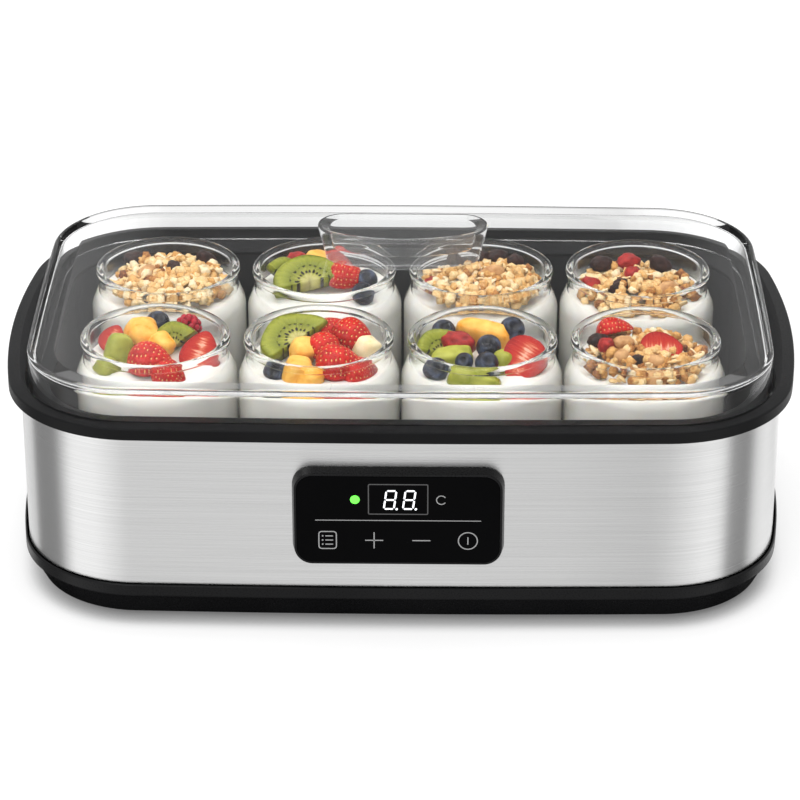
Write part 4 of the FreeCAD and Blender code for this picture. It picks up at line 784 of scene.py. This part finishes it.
def sliceShape(start, end, thickness=0.42):
    # Part of a disc that stands upright and faces the front: ring runs from core to rim, and the rim is rounded
    front = np.array([(0.02, 1.0), (0.3, 1.0), (0.55, 1.0), (0.8, 1.0), (0.94, 0.98), (0.985, 0.85), (1.0, 0.5)])
    profile = np.vstack([front, front[::-1] * [1, -1]])
    rows, columns = len(profile), kiwi["columns"]
    turn = np.radians(np.linspace(start, end, columns))
    radius, depth = profile[:, :1], profile[:, 1:] * thickness / 2
    whole = lambda values: np.broadcast_to(values, (rows, columns))
    reach = radius * (1 + kiwi["wobble"] * np.sin(5 * turn + 0.7))
    rings = np.stack([reach * np.cos(turn), whole(-depth), reach * np.sin(turn)], -1)
    turns = turn / (2 * np.pi)
    polar = np.stack([whole(turns * kiwi["seedsAround"]), whole(radius * kiwi["seedsAlong"]), whole(0.0)], -1)
    indices = np.arange(rows * columns).reshape(rows, columns)
    flanks = [indices[:, 0][None], indices[::-1, -1][None]]
    return makeShape(rings.reshape(-1, 3), [gridQuads(rows, columns, True, False), *flanks],
                     polar=polar.reshape(-1, 3), ring=whole(radius).ravel())


blueberry = {"squash": 0.94, "crownFrom": 0.86, "crownWidth": 0.12, "sink": 0.34, "points": 5, "pointAt": 0.88,
             "pointWidth": 0.05, "pointHeight": 0.1}


def blueberryShape():
    # A ball whose top sinks into a pointed crown
    rings = ballRings(15, 20)
    around = np.arctan2(rings[..., 1], rings[..., 0])
    height = rings[..., 2]
    crown = np.clip((height - blueberry["crownFrom"]) / blueberry["crownWidth"], 0, 1)
    points = np.exp(-((height - blueberry["pointAt"]) / blueberry["pointWidth"]) ** 2)
    points *= blueberry["pointHeight"] * (1 + np.cos(blueberry["points"] * around)) / 2
    rings[..., 2] = height * blueberry["squash"] - blueberry["sink"] * crown ** 2 + points
    return shapeOf(rings, crown=crown.ravel())


raspberry = {"beads": 46, "bead": 0.27, "top": 0.96, "bottom": -0.9, "length": 1.12, "size": 0.8}


def raspberryShape():
    # Small beads at golden-angle steps over an egg
    count = raspberry["beads"]
    level = np.linspace(raspberry["top"], raspberry["bottom"], count)
    turn = np.arange(count) * np.pi * (3 - np.sqrt(5))
    places = np.column_stack([np.sqrt(1 - level ** 2)[:, None] * onCircle(turn), level * raspberry["length"]])
    sizes = np.full((count, 3), raspberry["bead"])
    return copies(shapeOf(ballRings(7, 10)), places * raspberry["size"], np.zeros((count, 3)), sizes)


# Finishes of the food

def cellDistance(tree, vector, chance=0.35):
    # Distance to the nearest cell middle in two directions
    inputs = {"Vector": vector, "Scale": 1.0, "Randomness": chance}
    return addNode(tree, "ShaderNodeTexVoronoi", inputs, voronoi_dimensions="2D").outputs["Distance"]


def rampColor(tree, value, stops):
    # Colours between stops, each a place from 0 to 1 with its colour
    ramp = addNode(tree, "ShaderNodeValToRGB", {"Fac": value})
    elements = ramp.color_ramp.elements
    while len(elements) < len(stops):
        elements.new(1.0)
    for element, (place, color) in zip(elements, stops.items()):
        element.position = place
        element.color = (*color, 1.0)
    return ramp.outputs["Color"]


def softMaterial(name, gloss, soft, radius, depth):
    # Light goes a few millimetres into the flesh
    return newMaterial(name, {"Specular IOR Level": gloss, "Subsurface Weight": soft, "Subsurface Radius": radius,
                              "Subsurface Scale": depth * mm})


def strawberryFinish():
    # Outside: red with a straw seed in each dimple. Cut face: pale core, then red to the rim, with streaks
    material, tree = softMaterial("strawberryFlesh", 0.2, 0.04, (1.0, 0.25, 0.15), 1.0)
    skin = attributeOf(tree, "skin", "Vector")
    near = cellDistance(tree, skin)
    drift = spread(tree, noiseValue(tree, 160.0, 3.0))
    red = mixColors(tree, drift, (0.36, 0.005, 0.004), (0.62, 0.016, 0.008))
    outside = mixColors(tree, mapValue(tree, near, 0.17, 0.1), red, (0.74, 0.46, 0.16))
    streak = noiseValue(tree, 1.0, 3.0, skin, (0.3, 2.6, 1.0))
    shade = combine(tree, attributeOf(tree, "core"), spread(tree, streak, 0.2, -0.28), "ADD")
    inside = rampColor(tree, shade, {0.0: (0.74, 0.36, 0.26), 0.12: (0.58, 0.13, 0.065), 0.3: (0.44, 0.026, 0.012),
                                     0.7: (0.4, 0.012, 0.007), 1.0: (0.28, 0.005, 0.004)})
    cut = attributeOf(tree, "cut")
    dimple = combine(tree, mapValue(tree, near, 0.0, 0.42), combine(tree, 1.0, cut, "SUBTRACT"))
    height = combine(tree, dimple, combine(tree, streak, 0.3), "ADD")
    dress(tree, {"Base Color": mixColors(tree, cut, outside, inside), "Roughness": 0.3,
                 "Normal": bumpOf(tree, height, 0.45)})
    return material


def kiwiFinish():
    # Cream core, a ring of dark seeds in pale rays, green flesh that darkens to the rim
    material, tree = softMaterial("kiwiFlesh", 0.25, 0.1, (0.6, 1.0, 0.2), 2.0)
    ring = attributeOf(tree, "ring")
    polar = attributeOf(tree, "polar", "Vector")
    rays = noiseValue(tree, 1.0, 3.0, polar, (2.6, 0.4, 1.0))
    shade = combine(tree, ring, spread(tree, rays, -0.08, 0.08), "ADD")
    flesh = rampColor(tree, shade, {0.0: (0.58, 0.54, 0.24), 0.2: (0.46, 0.43, 0.14), 0.32: (0.28, 0.285, 0.035),
                                    0.55: (0.16, 0.18, 0.006), 0.85: (0.27, 0.29, 0.022), 1.0: (0.16, 0.175, 0.008)})
    zone = combine(tree, mapValue(tree, ring, 0.27, 0.31), mapValue(tree, ring, 0.57, 0.53))
    seed = combine(tree, mapValue(tree, cellDistance(tree, polar), 0.34, 0.28), zone)
    dress(tree, {"Base Color": mixColors(tree, seed, flesh, (0.012, 0.008, 0.006)), "Roughness": 0.28,
                 "Normal": bumpOf(tree, combine(tree, rays, seed, "ADD"), 0.4)})
    return material


def fleshFinish(name, dark, light, scale, rough, bump, soft=0.0):
    # Cloudy colour with a fine height
    material, tree = softMaterial(name, 0.25, soft, (1.0, 0.6, 0.3), 2.0)
    cloud = noiseValue(tree, scale, 4.0)
    dress(tree, {"Base Color": mixColors(tree, mapValue(tree, cloud, 0.32, 0.68), dark, light),
                 "Roughness": spread(tree, cloud, *rough), "Normal": bumpOf(tree, cloud, bump)})
    return material


def blueberryFinish():
    # Night blue skin with a pale bloom in clouds, nearly black in the crown
    material, tree = newMaterial("blueberrySkin", {"Specular IOR Level": 0.4})
    cloud = noiseValue(tree, 260.0, 4.0)
    skin = mixColors(tree, mapValue(tree, cloud, 0.45, 0.72), (0.003, 0.004, 0.01), (0.07, 0.095, 0.17))
    dress(tree, {"Base Color": mixColors(tree, attributeOf(tree, "crown"), skin, (0.003, 0.003, 0.006)),
                 "Roughness": spread(tree, cloud, 0.22, 0.5), "Normal": bumpOf(tree, cloud, 0.05)})
    return material


def granolaFinish():
    # Each chunk's tone picks a toasted colour, and a crumbly height breaks it up
    material, tree = newMaterial("granolaToast", {"Roughness": 0.55, "Specular IOR Level": 0.25})
    crumbs = noiseValue(tree, 1100.0, 4.0)
    shade = combine(tree, attributeOf(tree, "tone"), spread(tree, crumbs, -0.14, 0.14), "ADD")
    toast = rampColor(tree, shade, {0.0: (0.16, 0.045, 0.012), 0.2: (0.38, 0.15, 0.035), 0.45: (0.64, 0.34, 0.1),
                                    0.75: (0.8, 0.57, 0.28), 1.0: (0.88, 0.74, 0.5)})
    dress(tree, {"Base Color": toast, "Normal": bumpOf(tree, crumbs, 0.5)})
    return material


fleshLooks = {
    "raspberry": dict(name="raspberryBeads", dark=(0.26, 0.006, 0.016), light=(0.5, 0.02, 0.04), scale=300.0,
                      rough=(0.2, 0.4), bump=0.04, soft=0.1),
    "mango": dict(name="mangoFlesh", dark=(0.8, 0.34, 0.03), light=(0.92, 0.54, 0.12), scale=220.0,
                  rough=(0.25, 0.42), bump=0.25, soft=0.1),
    "kiwiSide": dict(name="kiwiSideFlesh", dark=(0.22, 0.24, 0.012), light=(0.4, 0.4, 0.06), scale=160.0,
                     rough=(0.25, 0.4), bump=0.2, soft=0.1),
    "melon": dict(name="melonFlesh", dark=(0.82, 0.66, 0.34), light=(0.9, 0.8, 0.52), scale=220.0,
                  rough=(0.25, 0.4), bump=0.2, soft=0.12),
    "raisin": dict(name="raisinSkin", dark=(0.01, 0.004, 0.003), light=(0.045, 0.014, 0.009), scale=420.0,
                   rough=(0.35, 0.6), bump=0.7),
    "driedBerry": dict(name="driedBerrySkin", dark=(0.2, 0.008, 0.008), light=(0.42, 0.02, 0.014), scale=420.0,
                       rough=(0.3, 0.55), bump=0.7),
    "nut": dict(name="nutSkin", dark=(0.4, 0.18, 0.06), light=(0.64, 0.38, 0.17), scale=300.0, rough=(0.4, 0.6),
                bump=0.3),
    "yogurt": dict(name="yogurtCream", dark=(0.78, 0.76, 0.71), light=(0.84, 0.82, 0.77), scale=70.0,
                   rough=(0.28, 0.42), bump=0.3, soft=0.2),
}
foodFinishes = {kind: fleshFinish(**look) for kind, look in fleshLooks.items()}
foodFinishes.update({"strawberry": strawberryFinish(), "kiwi": kiwiFinish(), "granola": granolaFinish(),
                     "blueberry": blueberryFinish()})
finishes.update(foodFinishes)
print("food finishes set:", len(foodFinishes))


# Yogurt in every jar

yogurt = {"level": 61.2, "lap": 0.15, "columns": 72, "topRows": 16, "climb": 0.7, "settle": 22.0, "core": 1.0,
          "radii": (0, 5.0, 7.0, 0), "ripple": 0.55, "across": 0.23, "along": 0.19, "slant": (0.41, -0.33),
          "slantShare": 0.6, "phases": (1.7, -1.0, 2.1)}


def yogurtRings(index, jarName):
    # Follows the inside of the glass a little way into it; the top climbs at its edge and ripples by slow sines
    lap = yogurt["lap"]
    body, neck, low = jar["innerBody"] + lap, jar["innerNeck"] + lap, jar["floor"] - lap
    share = (yogurt["level"] - jar["shoulderLow"]) / (jar["shoulderHigh"] - jar["shoulderLow"])
    edge = body + (neck - body) * share
    side = roundProfile([(yogurt["core"], low), (body, low), (body, jar["shoulderLow"]),
                         (edge, yogurt["level"] + yogurt["climb"])], yogurt["radii"], 7)
    inward = np.linspace(0.0, 1.0, yogurt["topRows"])[1:]
    top = np.stack([edge - (edge - yogurt["core"]) * inward,
                    yogurt["level"] + yogurt["climb"] * np.exp(-inward * yogurt["settle"])], 1)
    rings = turned(np.vstack([side, top]), yogurt["columns"], jarName)
    flat = rings[len(side):]
    x, y = flat[..., 0], flat[..., 1]
    phases = np.multiply(index, yogurt["phases"])
    ripple = np.sin(x * yogurt["across"] + phases[0]) * np.cos(y * yogurt["along"] + phases[1])
    ripple += yogurt["slantShare"] * np.sin(flat[..., :2] @ yogurt["slant"] + phases[2])
    flat[..., 2] += yogurt["ripple"] * ripple * np.linspace(0, 1, len(flat))[:, None] ** 0.5
    return rings


for index, name in enumerate(jarNames):
    nodeName = f"yogurt_{index + 1}"
    setFinish(nodeName, "yogurt")
    addSwept(name + "Yogurt", yogurtRings(index, name), "yogurt", name, "yogurt_cream", nodeName)
print("yogurt filled in")


# Fruit. Each kind has its finish, shape and stretch

wrinkled = shapeOf(lumpy(ballRings(13, 18), 0.16, 8, 9, 4.5))
cube = shapeOf(lumpy(ballRings(11, 16, 0.55), 0.05, 5))
even, wrinkledStretch = (1.0, 1.0, 1.0), (1.15, 0.8, 0.75)
fruitKinds = {
    "strawberryHalf": ("strawberry", strawberryShape(True), even),
    "strawberryWhole": ("strawberry", strawberryShape(False), even),
    "kiwiHalf": ("kiwi", sliceShape(0, 180), even),
    "kiwiChunk": ("kiwi", sliceShape(20, 130, 0.7), even),
    "kiwiSide": ("kiwiSide", cube, even),
    "mango": ("mango", cube, even),
    "melon": ("melon", cube, even),
    "blueberry": ("blueberry", blueberryShape(), even),
    "raspberry": ("raspberry", raspberryShape(), even),
    "raisin": ("raisin", wrinkled, wrinkledStretch),
    "driedBerry": ("driedBerry", wrinkled, wrinkledStretch),
    "nut": ("nut", shapeOf(lumpy(ballRings(11, 16), 0.05, 2)), (1.35, 0.85, 0.8)),
}
# For each jar: place above the middle of the yogurt, then spin, lean and heading, then one size or three
fruit = {
    "jar_1": {
        "strawberryHalf": [(-18.5, 10, 5.6, 35, -35, 15, 5.4), (18.2, 1, 4.4, 12, -42, -12, 8.2),
                           (-0.5, -9.5, 3.8, 88, 112, -14, 8.4), (7, -15, 0.6, 70, 120, -8, 6.4)],
        "kiwiSide": [(-15.5, 1, 4.6, 20, -15, 20, 5.4, 4.8, 6.6), (-19, -8.5, 1.2, 30, 10, 40, 5.0, 4.2, 3.6)],
        "mango": [(-7, 12.5, 5.2, 15, 25, 25, 6.8), (1.6, 5.5, 4.2, 10, 30, 50, 5.0), (-2, -1, 2.0, 0, 20, 30, 5.0)],
        "blueberry": [(-0.8, 21.2, 7.0, 8, 34, 0, 5.1)],
        "kiwiChunk": [(7.5, 9, 1.6, -22, -32, -10, 10.5)],
        "raspberry": [(12, 18, 6.2, 20, 30, 0, 5.6)],
    },
    "jar_2": {
        "kiwiHalf": [(-8.5, 5, 5.4, -42, -68, 0, 15.6)],
        "strawberryWhole": [(5.5, 17.5, 5.6, 65, 25, 25, 6.3)],
        "strawberryHalf": [(14.5, 10.5, 5.8, 78, 118, -18, 7.8), (3, -1.5, 5.0, 25, 108, 10, 7.2),
                           (9.5, -9.5, 3.2, 82, 114, 10, 8.6), (17, -10, 0.6, 95, 118, 25, 7.0)],
        "mango": [(-6.5, -2, 6.0, 10, 30, 20, 5.0), (-8, -14, 2.6, 20, 10, 15, 5.6), (-3, -17.5, 0.4, 0, 10, 60, 5.0)],
        "blueberry": [(-17.2, -12, 1.8, 0, 62, 0, 4.6)],
        "melon": [(19.6, 4.5, 3.8, 20, 10, 40, 5.0)],
    },
    "jar_3": {
        "blueberry": [(-15.8, 14.6, 7.0, -8, 36, 20, 5.1), (12.6, 17.4, 6.8, 14, 44, 0, 5.4),
                      (2.7, 0.4, 7.0, -6, 38, 0, 5.2), (1.8, -11.4, 5.2, 6, 42, 0, 4.9),
                      (-7.4, -8.2, 4.4, -10, 52, 0, 3.8), (-18.6, -12.4, 2.8, 10, 57, 0, 5.0)],
        "mango": [(0.5, 16, 5.4, 8, 15, -16, 11.5, 4.6, 5.6)],
        "kiwiChunk": [(-17, 4, 0.4, -30, -44, 20, 11.5)],
        "kiwiSide": [(-12.5, -2.4, 3.6, -8, 10, 10, 8.6, 4.6, 3.8), (-3.2, -20, 1.2, 10, -15, -8, 10.6, 4.0, 4.4),
                     (9, -3, 2.2, 20, 10, 60, 6.0, 4.4, 4.6)],
        "driedBerry": [(-9.6, 4.6, 6.4, 8, 15, -14, 6.4)],
        "strawberryHalf": [(16, -7.6, 4.6, 206, -44, -8, 8.9)],
    },
    "jar_4": {
        "strawberryHalf": [(-11, 16, 6.2, 72, 62, 24, 7.0), (7.2, -0.5, 7.0, 84, -42, -6, 7.8)],
        "raisin": [(-19.2, 8, 6.0, 10, 20, 30, 4.2), (-3.5, -9, 5.6, 10, 30, 20, 3.2)],
        "driedBerry": [(-15.6, 3, 6.2, 30, 20, 60, 4.6)],
        "nut": [(-8.8, 4.2, 7.4, 10, 12, 18, 3.6), (2.8, -10, 5.8, -8, 14, -12, 3.6),
                (-10, -6, 6.2, 10, 10, 60, 3.5), (4, -19, 2.4, 0, 20, 8, 4.0)],
    },
    "jar_5": {
        "raisin": [(-16, 16, 7.2, 10, 20, 30, 4.6), (15, 16, 7.0, 50, 20, 0, 4.6), (2, 4, 8.4, 20, 50, 80, 4.2)],
        "nut": [(-9, 0, 8.0, 0, 10, 60, 4.2)],
    },
    "jar_6": {
        "kiwiHalf": [(-6, -5, 4.8, -14, -62, 4, 15.6)],
        "kiwiChunk": [(-18, 6, 2.4, 0, -42, 20, 9.5)],
        "strawberryHalf": [(6, 13, 6.6, -12, -48, 0, 8.0), (10, 2, 5.4, 80, 112, -10, 7.6)],
        "blueberry": [(18, 0, 5.4, 0, 42, 0, 4.8), (16.5, -9, 3.4, 20, 52, 0, 4.8)],
        "mango": [(-4, 15, 6.0, 20, 20, 30, 5.4)],
        "driedBerry": [(-12, 16, 7.2, 10, 20, 0, 4.6)],
    },
    "jar_7": {
        "raisin": [(7, 17, 8.4, 10, 20, 30, 4.6), (-11, 16, 8.2, 60, 20, 10, 4.6), (0, 15, 8.6, 0, 40, 50, 4.4),
                   (15, 14, 8.0, 20, 0, 80, 4.4)],
        "driedBerry": [(-20, -2, 4.4, 10, 20, 30, 4.4)],
        "nut": [(5, 1, 8.4, 0, 15, 30, 4.4)],
    },
    "jar_8": {
        "raisin": [(-15, 14, 7.0, 10, 20, 30, 4.6), (10.5, 13, 7.4, 40, 20, 0, 4.8), (-8, -3, 4.2, 0, 0, 30, 4.4)],
        "driedBerry": [(-1.5, 5, 6.2, 20, 20, 60, 4.6), (-3, 16, 7.0, 0, 40, 20, 4.8),
                       (-19.5, -1, 4.0, 30, 10, 0, 4.4)],
        "nut": [(13, -6, 4.6, 10, 20, 40, 4.4)],
    },
}
yogurtTop = jar["low"] + yogurt["level"]
for jarName, kinds in fruit.items():
    grouped = {}
    for kind, rows in kinds.items():
        finish, shape, stretch = fruitKinds[kind]
        places, turns, sizes = np.split(np.array(rows, float), (3, 6), 1)
        parts = copies(shape, places + [0, 0, yogurtTop], turns, sizes * stretch)
        grouped.setdefault(finish, []).append(parts)
    for finish, parts in grouped.items():
        addFood(jarName, finish, parts)
print("fruit laid in")


# Granola: chunks and oat flakes heaped in a dome. Each heap has its seed, count, height at the glass, rise and tone

heaps = {"jar_4": (44, 330, 2.4, 3.8, 0.42), "jar_5": (45, 420, 4.2, 4.6, 0.62),
         "jar_7": (47, 420, 4.6, 4.8, 0.6), "jar_8": (48, 330, 2.0, 4.0, 0.52)}
granola = {"reach": 24.6, "domeRadius": 26.0, "jitter": (-1.8, 1.2), "sizes": (1.2, 2.8), "unlike": (0.7, 1.1),
           "toneSpread": 0.22, "tones": (0.02, 0.98), "flakeShare": 0.3, "flakeSpin": 0.12, "flakeLean": (-40, 30),
           "flakeTones": (0.62, 1.0), "flakeGrow": 1.35}
chunkShape = shapeOf(ballRings(4, 7, 0.8) * np.random.default_rng(3).uniform(0.75, 1.2, (4, 7, 1)))
flakeShape = shapeOf(ballRings(4, 9, 0.7) * [1.0, 0.8, 0.22])
for jarName, (seed, count, foot, crown, tone) in heaps.items():
    # Places fill a disc evenly; height is a dome plus chance, lower towards the glass
    chance = np.random.default_rng(seed)
    reach = granola["reach"] * np.sqrt(chance.uniform(0, 1, count))
    turn = chance.uniform(0, 2 * np.pi, count)
    dome = foot + crown * (1 - (reach / granola["domeRadius"]) ** 2)
    heights = yogurtTop + dome + chance.uniform(*granola["jitter"], count)
    places = np.column_stack([reach[:, None] * onCircle(turn), heights])
    turns = chance.uniform(0, 360, (count, 3))
    isFlake = chance.uniform(0, 1, count) < granola["flakeShare"]
    sizes = chance.uniform(*granola["sizes"], count)[:, None] * chance.uniform(*granola["unlike"], (count, 3))
    tones = np.clip(chance.normal(tone, granola["toneSpread"], count), *granola["tones"])
    # Flakes lie flatter, and are paler and larger
    turns[isFlake, 0] *= granola["flakeSpin"]
    turns[isFlake, 1] = chance.uniform(*granola["flakeLean"], isFlake.sum())
    tones[isFlake] = chance.uniform(*granola["flakeTones"], isFlake.sum())
    sizes[isFlake] *= granola["flakeGrow"]
    addFood(jarName, "granola", [copies(shape, places[chosen], turns[chosen], sizes[chosen], tones[chosen])
                                 for shape, chosen in ((chunkShape, ~isFlake), (flakeShape, isFlake))])
print("granola heaped")


# Stage: floor, sky, lamps and cards

def planeShape(corners):
    # One flat polygon
    return makeShape(np.array(corners, float), [np.arange(len(corners))[None]])


floor = {"half": 6000.0, "drop": 0.3, "dark": (0.45,) * 3, "light": (0.46,) * 3, "shadowReach": 12.0,
         "open": (0.35, 0.8), "glow": (0.14, 0.68)}


def floorFinish():
    # Pale sweep with a light of its own that fades close to the object: a painted contact shadow near the feet
    material, tree = newMaterial("paleFloor", {"Roughness": 0.9, "Specular IOR Level": 0.1, "Emission Color": white})
    near = addNode(tree, "ShaderNodeAmbientOcclusion", {"Distance": floor["shadowReach"] * mm}, samples=8)
    dress(tree, {"Base Color": mixColors(tree, noiseValue(tree, 6.0, 1.0), floor["dark"], floor["light"]),
                 # Painted shadow: the floor's own light falls where something stands close above it
                 "Emission Strength": mapValue(tree, near.outputs["AO"], *floor["open"], *floor["glow"])})
    return material


floorShape = planeShape([(x * floor["half"], y * floor["half"], -floor["drop"])
                         for x, y in ((-1, -1), (1, -1), (1, 1), (-1, 1))])
finishes["floor"] = floorFinish()
addStage("floor", makeMesh("floor", floorShape, "floor", False))

# The sky is white where it is seen, through glass or in a gloss, and dimmer as a light
skyLight = 0.45
world = bpy.data.worlds.new("whiteSky")
scene.world = world
world.use_nodes = True
skyTree = world.node_tree
rays = addNode(skyTree, "ShaderNodeLightPath").outputs
seen = combine(skyTree, rays["Is Camera Ray"], rays["Is Transmission Ray"], "MAXIMUM")
seen = combine(skyTree, seen, rays["Is Glossy Ray"], "MAXIMUM")
sky = skyTree.nodes["Background"].inputs
feed(skyTree, sky["Color"], white)
feed(skyTree, sky["Strength"], mapValue(skyTree, seen, 0.0, 1.0, skyLight, 1.0))

# Lamps, in metres
lamps = {
    "topLamp": {"place": (0.0, 0.1, 1.5), "target": (0.0, 0.0, 0.05), "size": (1.6, 1.2), "power": 13.0},
    "frontLamp": {"place": (-0.7, -1.5, 1.1), "target": (0.0, 0.0, 0.05), "size": (1.0, 0.8), "power": 9.0},
}
for name, settings in lamps.items():
    lamp = bpy.data.lights.new(name, "AREA")
    lamp.shape = "RECTANGLE"
    lamp.size, lamp.size_y = settings["size"]
    lamp.energy = settings["power"]
    place, target = Vector(settings["place"]), Vector(settings["target"])
    lampObject = addStage(name, lamp)
    lampObject.location = place
    lampObject.rotation_euler = (target - place).to_track_quat("-Z", "Y").to_euler()


def cardMaterial(name):
    # Gives light and throws none back
    return newMaterial(name, {"Roughness": 1.0, "Specular IOR Level": 0.0, "Base Color": black,
                              "Emission Color": white})


def addCard(name, shape, finish):
    # Cards show in reflections only
    card = addStage(name, makeMesh(name, shape, finish, False))
    card.visible_camera = card.visible_shadow = card.visible_diffuse = False


back = {"half": 600.0, "y": 1600.0, "low": 450.0, "high": 1300.0, "glow": 0.2, "dimTo": 240.0, "brightFrom": 380.0}


def backFinish():
    # A dim card that brightens to the white of the sky towards its sides
    material, tree = cardMaterial("cardGrey")
    across = addNode(tree, "ShaderNodeSeparateXYZ", {0: placeOf(tree)}).outputs["X"]
    aside = combine(tree, across, 0.0, "ABSOLUTE")
    glow = mapValue(tree, aside, back["dimTo"] * mm, back["brightFrom"] * mm, back["glow"], 1.0)
    dress(tree, {"Emission Strength": glow})
    return material


backCorners = [(-back["half"], back["y"], back["low"]), (back["half"], back["y"], back["low"]),
               (back["half"], back["y"], back["high"]), (-back["half"], back["y"], back["high"])]
finishes["backCard"] = backFinish()
addCard("backCard", planeShape(backCorners), "backCard")

# Glowing sweep round the feet: its brightness runs with the angle round the object, alike in front and behind
sweep = {"angles": (-180, -157, -154.5, -150, -147.3, -144, -140, -90, -55, -42, -36, -34, -32.4, -29.5, -27.5,
                    -25, 0),
         "shades": (1.0, 0.95, 0.3, 0.34, 1.45, 1.4, 0.94, 1.0, 0.94, 0.82, 1.35, 1.3, 0.45, 0.3, 1.1, 1.25, 1.0),
         "within": -14.0, "eye": 1240.0, "limit": 125.0, "dark": 8.0, "full": 12.0, "reach": 1500.0, "dim": 0.02,
         "height": -0.1, "counts": (30, 40, 30)}


def sweepShape():
    # Four rings on the floor along spokes, each the way a look at the band is thrown off it: dark by the feet,
    # then the spoke's own shade. A spoke turns by twice the band's turn and the look's own up to a limit, then on
    # to the rear
    outline = planRing(collarPlan, band["inset"], sweep["counts"])
    along = np.roll(outline, -1, 0) - np.roll(outline, 1, 0)
    outward = np.stack([along[:, 1], -along[:, 0]], 1) / np.linalg.norm(along, axis=1, keepdims=True)
    facing = np.arctan2(np.abs(outward[:, 0]), -outward[:, 1])
    limit = math.radians(sweep["limit"])
    rearward = limit + np.maximum(facing * 2 - np.pi, 0) * (1 - limit / np.pi)
    swing = np.minimum(2 * facing + np.abs(outline[:, 0]) / sweep["eye"], rearward)
    spokes = np.stack([np.sign(outward[:, 0]) * np.sin(swing), -np.cos(swing)], 1)
    outlines = [outline + outward * sweep["within"]]
    outlines += [outline + spokes * sweep[step] for step in ("dark", "full", "reach")]
    turn = -np.abs(np.degrees(np.arctan2(outline[:, 1], outline[:, 0])))
    shade = np.interp(turn, sweep["angles"], sweep["shades"])
    shares = sweep["dim"], sweep["dim"], 1, 1
    rings = ringStack([(flat, sweep["height"]) for flat in outlines])
    return makeShape(rings.reshape(-1, 3), [gridQuads(len(outlines), len(outline))],
                     shade=np.concatenate([shade * share for share in shares]))


finishes["sweepRing"], sweepTree = cardMaterial("sweepGlow")
dress(sweepTree, {"Emission Strength": attributeOf(sweepTree, "shade")})
addCard("sweepRing", sweepShape(), "sweepRing")

view = {"elevation": 27.03, "heading": -0.823, "distance": 1385.8, "target": (-0.668, 0.0, 55.65),
        "lens": 146.611, "sensor": 36.0, "far": 20.0}
lift, heading = math.radians(view["elevation"]), math.radians(view["heading"])
forward = Vector((math.sin(heading) * math.cos(lift), math.cos(heading) * math.cos(lift), -math.sin(lift)))
cameraData = bpy.data.cameras.new("camera")
cameraData.lens = view["lens"]
cameraData.sensor_width = view["sensor"]
cameraData.clip_end = view["far"]
camera = addStage("camera", cameraData)
camera.location = (Vector(view["target"]) - forward * view["distance"]) * mm
camera.rotation_euler = forward.to_track_quat("-Z", "Y").to_euler()
scene.camera = camera
scene.view_settings.view_transform = "Standard"
print("stage set")
